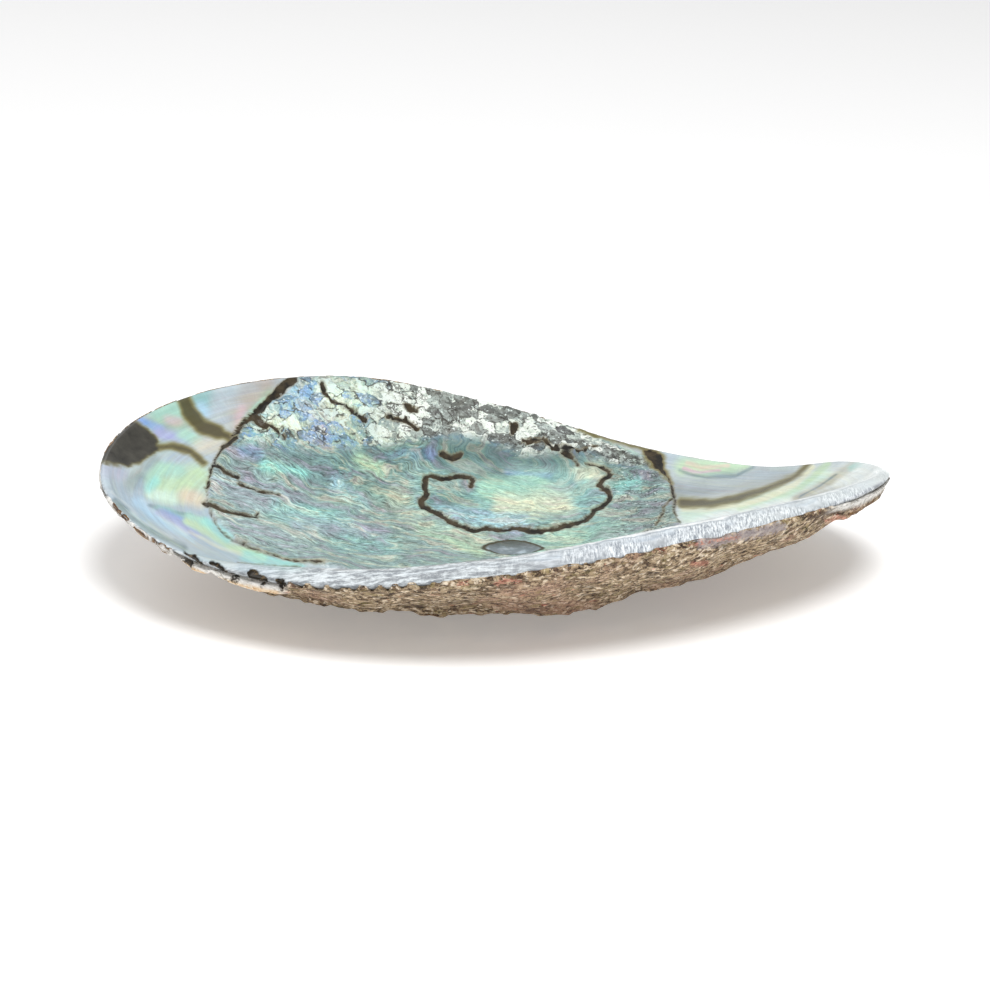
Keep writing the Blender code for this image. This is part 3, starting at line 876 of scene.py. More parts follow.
def make_nacre():
    mesh = closed_grid("nacre", NACRE_CELLS, 10)
    angle, radius, row = disc_places(mesh)
    wall_share = np.clip(radius / NACRE_WALL, 0, 1)
    rim_share = np.clip((radius - NACRE_WALL) / (1 - NACRE_WALL), 0, 1)
    on_wall = radius < NACRE_WALL
    points = np.where(on_wall[:, None], inner_wall(angle, wall_share), rim_top(angle, rim_share))
    on_top = row == 0

    # Past the rim's outer edge the pearl turns down over the outside, then runs back inside the wall
    turn_rows = np.array([0, 0.5, 1.4, 2.7, 4.4]) * MM
    turned = strip(angle, -turn_rows[np.clip(row, 0, 4)])
    below = turned[0] - outward(angle, turned[1]) * LIP_GAP
    shares = np.array([1, 1, 1, 1, 1, 0.9, 0.8, 0.65, 0.48, 0.3, 0.12])[row]
    back = MID_WALL * inner_wall(angle, shares) + (1 - MID_WALL) * outer_wall(angle, shares)
    back[:, 2] -= SKIN_OVERLAP
    points = np.where(on_top[:, None], points, np.where((row > 4)[:, None], back, below))

    seen = pixels_of(points)
    wobble = np.stack([noise_at(points, 2.2 * MM, 11), noise_at(points, 2.2 * MM, 23)], axis=-1)
    fine_wobble = np.stack([noise_at(points, 0.7 * MM, 31), noise_at(points, 0.7 * MM, 43)], axis=-1)
    seen_wavy = seen + 2.2 * wobble + 1.2 * fine_wobble
    pearl = on_top & (on_wall | (shelf_share(angle) < 0.3))
    ridge = np.interp(seen[:, 0], *SHELF_RIDGE)
    hidden = ramp(seen[:, 1] - ridge, 0, 5) * (on_wall & on_top)
    near_depth = PIXELS_PER_MM * depth_inside((points[:, :2] + 0.6 * MM * wobble) / MM, NEAR_SCAR)
    in_scar = depth_inside(seen_wavy, SCAR)
    in_scar = np.where(pearl, in_scar + (np.minimum(in_scar, near_depth) - in_scar) * hidden, -30)
    ragged = LINE_RAGGED * (noise_at(points, 1.1 * MM, 37) + 0.6 * noise_at(points, 3 * MM, 39))
    line = beyond_lines(seen + 0.9 * wobble + 0.5 * fine_wobble, DARK_LINES) + ragged
    patch = depth_inside(seen_wavy, DARK_PATCH)
    line = np.minimum(line, 2.0 - patch)
    line = np.where(pearl, line + (np.abs(near_depth) + 0.4 + ragged - line) * hidden, 30)
    in_black = depth_inside(seen_wavy, BLACK_PATCH)
    olive = beyond_lines(seen + 1.2 * wobble + 0.4 * fine_wobble, OLIVE_BANDS)
    olive = np.minimum(olive, np.minimum(-in_black - 1, -patch - 1.5))
    olive = np.where(pearl, olive + 30 * hidden, 30)
    black = np.where(pearl, in_black, -30)
    rough = noise_at(points, SCAR_LUMP_SIZE)
    value, slope = flakes(points[:, :2] + 0.5 * MM * wobble + 0.3 * MM * fine_wobble)

    # The far band of the scar is flaky; the flakes thin out towards the swirl
    band = 1 - ramp(seen[:, 1] + 6 * rough, *band_edges(seen[:, 0]))
    flaky = band * ramp(in_scar, 0, 6)
    scar_share = ramp(in_scar, *LEDGE_PIXELS) * (1 - ramp(wall_share, *SCAR_FADE))
    lift = (SCAR_HEIGHT + SCAR_LUMP_HEIGHT * rough) * scar_share
    lift += flaky * (FLAKE_HEIGHT * (value - 0.5) + FLAKE_TILT * slope) * (1 - ramp(wall_share, 0.9, 1.0))
    lift -= LINE_DEPTH * (1 - ramp(line, -1, 1.5)) * (1 - ramp(wall_share, 0.85, 0.97))
    from_oval = (np.abs((seen_wavy * 0.4 + seen * 0.6 - OVAL) / OVAL_RADII) ** OVAL_ROUNDNESS).sum(axis=1)
    from_oval += 3 * hidden
    lift -= OVAL_DENT * (1 - ramp(from_oval, 0.5, 1.05)) * on_wall * on_top
    from_blister = np.linalg.norm(seen - BLISTER, axis=1) / BLISTER_RADIUS
    lift += BLISTER_HEIGHT * (1 - ramp(from_blister, 0.2, 1)) * on_wall * on_top
    points[:, 2] += np.where(on_top & on_wall, lift, 0)
    pit = np.where(points[:, 1] < 0, beyond_lines(seen + 0.8 * fine_wobble, PITS), 30)
    pit = np.where(on_wall & on_top, 30, pit)
    points[:, 2] += np.where(on_top, 0.5, 0) * PIT_DEPTH * (ramp(pit, -1, 1) - 1)

    # The far rim is bumpy where the scar reaches it; the shelf is striated across
    on_rim = on_top & (radius > NACRE_WALL * 0.97)
    far = ramp(points[:, 1], 35 * MM, 50 * MM) * ramp(points[:, 0], -40 * MM, -30 * MM)
    far *= 1 - ramp(points[:, 0], 22 * MM, 34 * MM)
    bumps = noise_at(points, 1.8 * MM, 51) + 0.6 * noise_at(points, 0.8 * MM, 57)
    points[:, 2] += np.where(on_rim, far * RIM_BUMP * bumps, 0)
    striae = noise_at(np.stack([points[:, 0], points[:, 1] * 0.15, points[:, 2] * 0.15], axis=-1),
                      STRIATION_SIZE, 61)
    points[:, 2] += on_rim * shelf_share(angle) * STRIATION * striae
    set_places(mesh, points)

    mirrored = np.stack([seen[:, 0], np.minimum(seen[:, 1], 2 * ridge - seen[:, 1])], axis=-1)
    tint_seen = np.where((on_wall & on_top)[:, None], mirrored, seen)
    away = ramp(seen[:, 1] - ridge, *HIDDEN_FADE) * (on_wall & on_top) * (1 - ramp(in_scar, -1, 2))
    tint = tints(tint_seen, points, in_scar)
    set_field(mesh, "tint", tint + (hidden_tints(points) - tint) * away[:, None])
    set_field(mesh, "growth", growth_of(angle, wall_share))
    set_field(mesh, "glittery", ramp(in_scar, 1, 8) * ramp(seen[:, 0], *GLITTER_STARTS) * (1 - hidden))
    set_field(mesh, "flow", flow_of(points))
    set_field(mesh, "lively", 0.10 + 0.85 * ramp(in_scar, -1.5, 3) - 0.45 * swirl_share(points))
    set_field(mesh, "line", np.clip(line, -6, 12))
    set_field(mesh, "olive", np.clip(olive, -8, 12))
    set_field(mesh, "black", np.clip(black, -12, 8))
    set_field(mesh, "scar", np.clip(in_scar, -12, 40))
    set_field(mesh, "flaky", flaky)
    set_field(mesh, "scaly", flaky * scaly_share(seen))
    set_field(mesh, "oval", np.where(on_wall & on_top, from_oval, 3))
    set_field(mesh, "down_oval", np.clip((seen[:, 1] - OVAL[1]) / OVAL_RADII[1], -1, 1))
    on_shelf = shelf_share(angle) * ramp(radius, NACRE_WALL * 0.97, NACRE_WALL)
    near_lip = ramp(-np.sin(angle), 0.05, 0.3) * ramp(rim_share, 0.7, 0.95)
    set_field(mesh, "rim", np.where(on_top, np.maximum(on_shelf, near_lip), 1))
    set_field(mesh, "across_rim", np.where(on_top, rim_share, 1.05))
    set_field(mesh, "pit", np.clip(pit, -4, 12))
    return mesh


def scaly_share(seen):
    """1 in the right part of the far band, where the flakes are small grey scales."""
    return ramp(seen[:, 0], 350, 410)


def band_edges(across):
    """Where the flaky far band ends, in pixels down the photo, at places across it."""
    middle = np.interp(across, BAND_ACROSS, BAND_DOWN)
    return middle - 8, middle + 8


def make_crust():
    mesh = closed_grid("crust", CRUST_CELLS, 8)
    angle, radius, row = disc_places(mesh)
    on_top = row == 0
    in_strip = np.clip((radius - CRUST_WALL) / (1 - CRUST_WALL), 0, 1)
    edge_seen = pixels_of(outer_edge(angle))
    lap = crust_edge(angle, edge_seen)
    inward = -CRUST_STRIP + (CRUST_STRIP + lap) * in_strip
    strip_place, strip_share = strip(angle, inward)
    strip_start = strip(angle, np.full_like(angle, -CRUST_STRIP))[1]
    wall_share = np.where(radius < CRUST_WALL, radius / CRUST_WALL * strip_start, strip_share)
    plain = outer_wall(angle, wall_share)
    grain_place = plain * GRAIN_STRETCH
    grain = noise_at(grain_place, GRAIN_SIZE, 3) + 0.6 * noise_at(grain_place, GRAIN_SIZE / 2.3, 9)
    grain += 0.35 * noise_at(grain_place, GRAIN_SIZE / 5, 13)
    near_edge = ramp(wall_share, 0.90, 1.0)
    push = relief(plain, angle, wall_share) + GRAIN * (grain * (1 - 0.5 * near_edge) + 0.5 * near_edge)
    push = np.maximum(push, near_edge * 0.05 * MM) + CRUST_LIFT * near_edge + pore_relief(plain)
    normal = outward(angle, np.minimum(wall_share, 0.995))
    corner = CORNER_LIFT * (1 - ramp(np.abs(inward), *CORNER_REACH))
    on_wall = plain + normal * (push + corner)[:, None]
    over = strip_place + normal * corner[:, None]
    points = np.where((inward > 0)[:, None], over, on_wall)
    points[:, 2] += (CRUST_LIFT + 0.5 * corner) * ramp(inward, -0.8 * MM, 0)
    seen = pixels_of(points)
    toward = NEAR_WANDER * noise_at(points, 4 * MM, 67) - points[:, 1]
    near = ramp(toward, *NEAR_REACH) * (on_top & (radius > 0.7))
    lobe = np.zeros(len(points))
    for start, end, size in LOBES:
        middle, half = (start + end) / 2, (end - start) / 2
        lobe = np.maximum(lobe, size * np.clip(1 - ((seen[:, 0] - middle) / half) ** 2, 0, 1) ** 0.45)
    far_down = (wall_share - 1) / (1 - strip_start) * CRUST_STRIP
    depth = np.where(radius < CRUST_WALL, far_down, inward)
    band = ramp(depth, *LOBE_BAND[:2]) * (1 - ramp(depth, *LOBE_BAND[2:]))
    lobed = near * lobe * band
    fine_wobble = np.stack([noise_at(points, 0.7 * MM, 31), noise_at(points, 0.7 * MM, 43)], axis=-1)
    too_deep = 30 * (1 - ramp(near, 0.02, 0.3) * ramp(depth, *PIT_REACH))
    pit = beyond_lines(seen + 0.8 * fine_wobble, PITS) + too_deep
    bar = beyond_lines(seen + 0.8 * fine_wobble, BARS) + too_deep
    push = LOBE * lobed - PIT_DEPTH * (1 - ramp(pit, -1.5, 0.5)) - 0.4 * PIT_DEPTH * (1 - ramp(bar, -1, 1))
    points += normal * push[:, None]
    shares = np.array([1, 0.985, 0.95, 0.88, 0.76, 0.62, 0.45, 0.28, 0.12])[row]
    back = MID_WALL * inner_wall(angle, shares) + (1 - MID_WALL) * outer_wall(angle, shares)
    back[:, 2] += SKIN_OVERLAP
    points = np.where(on_top[:, None], points, back)
    set_places(mesh, points)
    set_field(mesh, "grain", grain)
    set_field(mesh, "pit", np.clip(pit, -4, 12))
    set_field(mesh, "bar", np.clip(bar, -4, 12))
    stained = (near > 0.5) & (depth > STAIN_DEPTH)
    for name, lines in (("salmon", SALMON), ("lilac", LILAC), ("dark_stain", DARK_STAIN)):
        set_field(mesh, name, np.where(stained, np.clip(beyond_lines(seen, lines), -6, 12), 12))
    left = near * (1 - ramp(seen[:, 0], 276, 292))
    right = near * ramp(seen[:, 0], 822, 842) * ramp(depth, -2.2 * MM, -1.2 * MM)
    set_field(mesh, "bare", np.maximum(left * ramp(depth, -9 * MM, -7 * MM), right))
    set_field(mesh, "lobed", left * ramp(lobed, *LOBE_TAN) * (1 - ramp(depth, -2.2 * MM, -1.4 * MM)))
    return mesh


def finished(mesh, name, bores, material):
    """Makes a piece of a closed skin, bored and shaded smooth, riding on the shell's body."""
    shape = bmesh.new()
    shape.from_mesh(mesh)
    bmesh.ops.recalc_face_normals(shape, faces=shape.faces)
    shape.to_mesh(mesh)
    shape.free()
    piece = bpy.data.objects.new(name, mesh)
    bpy.context.scene.collection.objects.link(piece)
    cut = piece.modifiers.new("pores", "BOOLEAN")
    cut.operation = "DIFFERENCE"
    cut.solver = "EXACT"
    cut.object = bores
    solved = piece.evaluated_get(bpy.context.evaluated_depsgraph_get())
    piece.data = bpy.data.meshes.new_from_object(solved)
    piece.modifiers.clear()
    piece.data.shade_smooth()
    piece.data.materials.clear()
    piece.data.materials.append(material)
    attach(piece, "root")
    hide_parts(NODE)
    return piece


# The materials

def linear(colour):
    """A colour as seen on a screen, turned into the amounts of light that the shaders take."""
    return tuple(part / 12.92 if part <= 0.04045 else ((part + 0.055) / 1.055) ** 2.4 for part in colour)


def add(tree, kind, inputs=None, **settings):
    """Adds a node; an input is a value or another node's output."""
    node = tree.nodes.new(kind)
    for name, value in settings.items():
        setattr(node, name, value)
    for name, value in (inputs or {}).items():
        if isinstance(value, bpy.types.NodeSocket):
            tree.links.new(value, node.inputs[name])
        else:
            node.inputs[name].default_value = value
    return node


def field(tree, name, colour=False):
    """A value kept on the mesh."""
    node = add(tree, "ShaderNodeAttribute", attribute_name=name)
    return node.outputs["Color" if colour else "Fac"]


def noise_of(tree, place, scale, detail=3.0, roughness=0.55, distortion=0.0):
    node = add(tree, "ShaderNodeTexNoise", {
        "Vector": place, "Scale": scale, "Detail": detail, "Roughness": roughness, "Distortion": distortion,
    })
    return node.outputs["Fac"]


def noise_vector(tree, place, scale):
    """Three noises, each about a half, as a vector."""
    return add(tree, "ShaderNodeTexNoise", {"Vector": place, "Scale": scale, "Detail": 2.0}).outputs["Color"]


def stretched(tree, place, by):
    """A place whose three coordinates are multiplied."""
    node = add(tree, "ShaderNodeVectorMath", {0: place, 1: by}, operation="MULTIPLY")
    return node.outputs[0]


def grains_of(tree, place, scale, feature="F1", randomness=1.0):
    """Cells of random size: how far a place is from a cell's middle or edge, and the cell's own chance."""
    node = add(tree, "ShaderNodeTexVoronoi", {
        "Vector": place, "Scale": scale, "Randomness": randomness,
    }, feature=feature)
    if feature == "DISTANCE_TO_EDGE":
        return node.outputs["Distance"]
    split = add(tree, "ShaderNodeSeparateColor", {0: node.outputs["Color"]})
    return node.outputs["Distance"], split.outputs[0]


def span(tree, value, start, end, low=0.0, high=1.0, smooth=True):
    """The value carried from start and end onto low and high."""
    kind = "SMOOTHSTEP" if smooth else "LINEAR"
    node = add(tree, "ShaderNodeMapRange", {
        "Value": value, "From Min": start, "From Max": end, "To Min": low, "To Max": high,
    }, interpolation_type=kind)
    return node.outputs["Result"]


def sum_of(tree, first, second, operation="ADD"):
    return add(tree, "ShaderNodeMath", {0: first, 1: second}, operation=operation).outputs[0]


def product(tree, first, second):
    return sum_of(tree, first, second, "MULTIPLY")


def blend(tree, share, first, second, kind="MIX"):
    """Colours mixed by a share; a colour is an output or three numbers as seen on a screen."""
    node = add(tree, "ShaderNodeMix", data_type="RGBA", blend_type=kind, clamp_factor=True)
    for index, value in ((0, share), (6, first), (7, second)):
        if isinstance(value, bpy.types.NodeSocket):
            tree.links.new(value, node.inputs[index])
        else:
            node.inputs[index].default_value = value if index == 0 else (*linear(value), 1)
    return node.outputs[2]


def ramp_of(tree, value, stops):
    """A colour ramp through (place, colour) stops."""
    node = add(tree, "ShaderNodeValToRGB", {"Fac": value})
    points = node.color_ramp.elements
    while len(points) < len(stops):
        points.new(1)
    for point, (place, colour) in zip(points, stops):
        point.position = place
        point.color = (*linear(colour), 1)
    return node.outputs["Color"]


def new_material(name):
    made = bpy.data.materials.new(name)
    made.use_nodes = True
    tree = made.node_tree
    return made, tree, tree.nodes["Principled BSDF"]


def nacre_material():
    made, tree, shader = new_material("nacre")
    place = add(tree, "ShaderNodeTexCoord").outputs["Object"]
    flow = field(tree, "flow", colour=True)
    scar = field(tree, "scar")
    lively = field(tree, "lively")
    line, olive, black = field(tree, "line"), field(tree, "olive"), field(tree, "black")

    # Broad colours, then streaks of other pearl colours and of light and dark along the growth lines
    patches = stretched(tree, flow, (0.30, 0.75, 1.0))
    hue = noise_of(tree, patches, 1.0, 5, 0.62, 0.6)
    rainbow = ramp_of(tree, hue, [
        (0.28, PALETTE["pink"]), (0.36, PALETTE["lilac"]), (0.42, PALETTE["steel"]), (0.48, PALETTE["aqua"]),
        (0.54, PALETTE["mint"]), (0.60, PALETTE["cream"]), (0.67, PALETTE["rose"]), (0.75, PALETTE["lilac"]),
    ])
    colour = blend(tree, product(tree, lively, 0.40), field(tree, "tint", colour=True), rainbow)
    speck = noise_of(tree, place, 900.0, 4, 0.7)
    coarse_speck = noise_of(tree, place, 330.0, 3, 0.6)
    streak = noise_of(tree, flow, 1.5, 7, 0.72, 0.7)
    fine_streak = noise_of(tree, flow, 4.2, 5, 0.7, 0.4)
    zones = span(tree, noise_of(tree, patches, 0.8, 2), 0.38, 0.60, 0.25, 1.0)
    coarse_part = product(tree, sum_of(tree, streak, 0.5, "SUBTRACT"), product(tree, zones, 1.1))
    fine_part = product(tree, sum_of(tree, fine_streak, 0.5, "SUBTRACT"), 0.9)
    speck_part = product(tree, sum_of(tree, speck, 0.5, "SUBTRACT"), 0.45)
    shade = sum_of(tree, sum_of(tree, coarse_part, fine_part), speck_part)
    light = span(tree, shade, -0.17, 0.17, 0.32, 1.44, smooth=False)
    shaded = blend(tree, 1.0, colour, gray(tree, light), "MULTIPLY")
    colour = blend(tree, lively, colour, shaded)
    bands = noise_of(tree, patches, 1.6, 3, 0.5, 0.5)
    contour = sum_of(tree, product(tree, bands, 22.0), 1.0, "PINGPONG")
    broken = product(tree, span(tree, coarse_speck, 0.42, 0.60), product(tree, lively, 0.65))
    fine_line = product(tree, span(tree, contour, 0.0, 0.16, 1.0, 0.0), broken)
    colour = blend(tree, fine_line, colour, (0.22, 0.24, 0.24))

    # The smooth pearl's own fine growth lines
    growth = field(tree, "growth", colour=True)
    calm = span(tree, scar, -4.0, 0.0, 1.0, 0.0)
    lines = noise_of(tree, growth, 1.6, 7, 0.7, 0.3)
    soft_light = span(tree, lines, 0.34, 0.66, 0.86, 1.10, smooth=False)
    lined = blend(tree, 1.0, colour, gray(tree, soft_light), "MULTIPLY")
    tinted = ramp_of(tree, noise_of(tree, growth, 0.7, 4, 0.6, 0.5), [
        (0.34, PALETTE["lilac"]), (0.44, PALETTE["pale_blue"]), (0.52, PALETTE["silver"]),
        (0.60, PALETTE["pale_mint"]), (0.70, PALETTE["peach"]),
    ])
    lined = blend(tree, 0.16, lined, tinted)
    colour = blend(tree, calm, colour, lined)

    # Flakes of the far band: large bright ones of the pearl's own colours on the left, grey and white
    # scales on the right, both with dark cracks, grit and small glints
    flaky = field(tree, "flaky")
    scaly = field(tree, "scaly")
    glittery = field(tree, "glittery")
    rumpled = add(tree, "ShaderNodeVectorMath", {
        0: place, 1: add(tree, "ShaderNodeVectorMath", {
            0: noise_vector(tree, place, 500.0), 1: (0.0022, 0.0022, 0.0022),
        }, operation="MULTIPLY").outputs[0],
    }, operation="ADD").outputs[0]
    _, large_chance = grains_of(tree, rumpled, 300.0)
    _, small_chance = grains_of(tree, rumpled, 900.0)
    large_edge = grains_of(tree, rumpled, 300.0, "DISTANCE_TO_EDGE")
    small_edge = grains_of(tree, rumpled, 900.0, "DISTANCE_TO_EDGE")
    speck_share = product(tree, sum_of(tree, speck, 0.5, "SUBTRACT"), 1.0)
    small_share = product(tree, sum_of(tree, small_chance, 0.5, "SUBTRACT"), 0.40)
    chance = sum_of(tree, sum_of(tree, large_chance, small_share), speck_share)
    left_tone = ramp_of(tree, chance, [
        (0.00, (0.34, 0.46, 0.56)), (0.16, (0.50, 0.68, 0.90)), (0.36, (0.66, 0.86, 0.94)),
        (0.52, (0.76, 0.88, 0.80)), (0.68, (0.95, 0.96, 0.84)), (0.90, (0.90, 0.98, 0.95)),
    ])
    off_middle = sum_of(tree, sum_of(tree, chance, 0.5, "SUBTRACT"), 0.0, "ABSOLUTE")
    unusual = span(tree, off_middle, 0.10, 0.36, 0.18, 0.72)
    left_colour = blend(tree, unusual, colour, left_tone)
    right_tone = ramp_of(tree, chance, [
        (0.00, (0.34, 0.34, 0.32)), (0.18, (0.50, 0.51, 0.49)), (0.42, (0.63, 0.66, 0.64)),
        (0.60, (0.73, 0.78, 0.75)), (0.74, (0.90, 0.93, 0.88)), (0.90, (0.97, 0.99, 0.96)),
    ])
    tone = blend(tree, scaly, left_colour, right_tone)
    colour = blend(tree, product(tree, flaky, 0.88), colour, tone)
    crack_here = span(tree, coarse_speck, 0.44, 0.56)
    large_gap = product(tree, span(tree, large_edge, 0.02, 0.07, 1.0, 0.0), crack_here)
    small_crack = span(tree, small_edge, 0.02, 0.10, 1.0, 0.0)
    small_gap = product(tree, small_crack, span(tree, coarse_speck, 0.50, 0.62))
    small_gap = product(tree, small_gap, span(tree, scaly, 0.0, 1.0, 0.35, 0.9))
    gap = product(tree, sum_of(tree, large_gap, small_gap, "MAXIMUM"), product(tree, flaky, 0.85))
    colour = blend(tree, gap, colour, (0.22, 0.20, 0.17))
    grit = span(tree, noise_of(tree, place, 1500.0, 2, 0.6), 0.58, 0.66)
    colour = blend(tree, product(tree, grit, product(tree, scaly, 0.75)), colour, (0.20, 0.19, 0.17))
    glint = span(tree, noise_of(tree, place, 1250.0, 2, 0.5), 0.62, 0.70)
    bright = sum_of(tree, product(tree, flaky, 0.8), product(tree, glittery, 0.6), "MAXIMUM")
    colour = blend(tree, product(tree, glint, bright), colour, (0.94, 0.99, 0.97))
    thin = product(tree, span(tree, small_edge, 0.02, 0.12, 1.0, 0.0), span(tree, coarse_speck, 0.44, 0.58))
    colour = blend(tree, product(tree, thin, product(tree, glittery, 0.85)), colour, (0.22, 0.24, 0.24))

    # Olive and black conchiolin, and the dark lines with their tan fringe
    soft = product(tree, sum_of(tree, noise_of(tree, growth, 0.8, 3), 0.5, "SUBTRACT"), 2.4)
    olive_here = span(tree, sum_of(tree, olive, soft), -2.6, 2.4, 1.0, 0.0)
    olive_core = span(tree, sum_of(tree, olive, soft), -5.0, 0.0)
    olive_tone = blend(tree, olive_core, (0.31, 0.27, 0.12), (0.54, 0.51, 0.32))
    colour = blend(tree, product(tree, olive_here, 0.93), colour, olive_tone)
    black_here = span(tree, sum_of(tree, black, soft), -2.0, 4.0)
    black_tone = blend(tree, coarse_speck, (0.10, 0.10, 0.09), (0.34, 0.33, 0.30))
    colour = blend(tree, black_here, colour, black_tone)
    ragged = sum_of(tree, line, product(tree, sum_of(tree, speck, 0.5, "SUBTRACT"), 2.6))
    fringe = span(tree, ragged, 0.6, 2.2, 0.5, 0.0)
    colour = blend(tree, fringe, colour, (0.52, 0.47, 0.34))
    line_here = span(tree, ragged, -0.5, 0.9, 1.0, 0.0)
    line_tone = blend(tree, span(tree, coarse_speck, 0.35, 0.65), (0.09, 0.08, 0.06), (0.27, 0.23, 0.16))
    colour = blend(tree, line_here, colour, line_tone)

    # The grey oval, and the silvery rim with its fine striations, a painted highlight along the shelf's ridge
    # and painted shade beside it
    oval = field(tree, "oval")
    grey_blue = blend(tree, span(tree, coarse_speck, 0.38, 0.62), (0.46, 0.50, 0.53), (0.70, 0.76, 0.80))
    oval_tone = blend(tree, span(tree, field(tree, "down_oval"), -0.9, 0.3), (0.30, 0.31, 0.28), grey_blue)
    colour = blend(tree, span(tree, oval, 0.85, 1.0, 0.9, 0.0), colour, oval_tone)
    outline = product(tree, span(tree, oval, 0.78, 0.94), span(tree, oval, 1.0, 1.14, 1.0, 0.0))
    colour = blend(tree, outline, colour, (0.27, 0.25, 0.18))
    rim = field(tree, "rim")
    across = stretched(tree, place, (1.0, 0.16, 0.16))
    striae = noise_of(tree, across, 3000.0, 5, 0.75)
    rim_tone = blend(tree, span(tree, striae, 0.38, 0.62), (0.50, 0.53, 0.57), (0.95, 0.97, 0.98))
    wander = product(tree, sum_of(tree, noise_of(tree, place, 160.0, 3, 0.6), 0.5, "SUBTRACT"), 0.7)
    layer = sum_of(tree, field(tree, "across_rim"), wander)
    # Bands across the rim from its inner edge out: the white band close to the ridge is a painted highlight,
    # the grey band just outside it painted shade on the shelf's face, and the bands further out grow darker
    # towards the outer edge
    layers_and_ridge_highlight = ramp_of(tree, layer, [
        (0.00, (0.84, 0.87, 0.88)), (0.14, (0.96, 0.97, 0.97)), (0.24, (0.64, 0.68, 0.72)),
        (0.32, (0.84, 0.87, 0.89)), (0.52, (0.72, 0.76, 0.80)), (0.62, (0.80, 0.82, 0.84)),
        (0.94, (0.58, 0.60, 0.62)),
    ])
    mottle = span(tree, noise_of(tree, place, 420.0, 4, 0.7), 0.36, 0.64, 0.78, 1.12, smooth=False)
    layers_and_ridge_highlight = blend(tree, 1.0, layers_and_ridge_highlight, gray(tree, mottle), "MULTIPLY")
    ashore = span(tree, add(tree, "ShaderNodeSeparateXYZ", {0: place}).outputs[0], -0.012, 0.03, 0.35, 0.9)
    patchy = span(tree, noise_of(tree, place, 110.0, 3), 0.40, 0.54)
    striated = product(tree, span(tree, layer, 0.16, 0.34), product(tree, patchy, ashore))
    rim_tone = blend(tree, striated, layers_and_ridge_highlight, rim_tone)
    inland = span(tree, ashore, 0.9, 0.35, 0.0, 0.72)
    lengthwise = stretched(tree, place, (0.35, 1.0, 1.0))
    fleck = span(tree, noise_of(tree, lengthwise, 900.0, 5, 0.75), 0.40, 0.62)
    rim_tone = blend(tree, inland, rim_tone, blend(tree, fleck, (0.44, 0.46, 0.48), (0.90, 0.93, 0.94)))
    colour = blend(tree, rim, colour, rim_tone)
    # Painted shade: the near-black in the pits stands for the shade in the holes, mottled with brown
    torn = product(tree, sum_of(tree, coarse_speck, 0.5, "SUBTRACT"), 7.0)
    pit_here = span(tree, sum_of(tree, field(tree, "pit"), torn), -0.4, 1.0, 1.0, 0.0)
    pit_shade_tone = blend(tree, span(tree, speck, 0.50, 0.70), (0.12, 0.10, 0.06), (0.38, 0.31, 0.20))
    colour = blend(tree, pit_here, colour, pit_shade_tone)
    tree.links.new(colour, shader.inputs["Base Color"])

    relief_height = sum_of(tree, product(tree, streak, product(tree, lively, 0.7)),
                           product(tree, chance, product(tree, flaky, 0.8)))
    relief_height = sum_of(tree, relief_height, product(tree, striae, product(tree, rim, 0.35)))
    bump = add(tree, "ShaderNodeBump", {"Height": relief_height, "Strength": 0.55, "Distance": 0.35 * MM})
    tree.links.new(bump.outputs[0], shader.inputs["Normal"])
    matt = sum_of(tree, product(tree, line_here, 0.8), product(tree, black_here, 0.3))
    worn = sum_of(tree, sum_of(tree, lively, product(tree, flaky, 0.5)), matt)
    roughness = span(tree, worn, 0.0, 2.0, 0.14, 0.65, smooth=False)
    tree.links.new(roughness, shader.inputs["Roughness"])
    shader.inputs["Coat Weight"].default_value = 0.08
    shader.inputs["Coat Roughness"].default_value = 0.08
    shader.inputs["IOR"].default_value = 1.33
    return made


def gray(tree, value):
    """A grey colour of a value."""
    return add(tree, "ShaderNodeCombineColor", {0: value, 1: value, 2: value}).outputs[0]


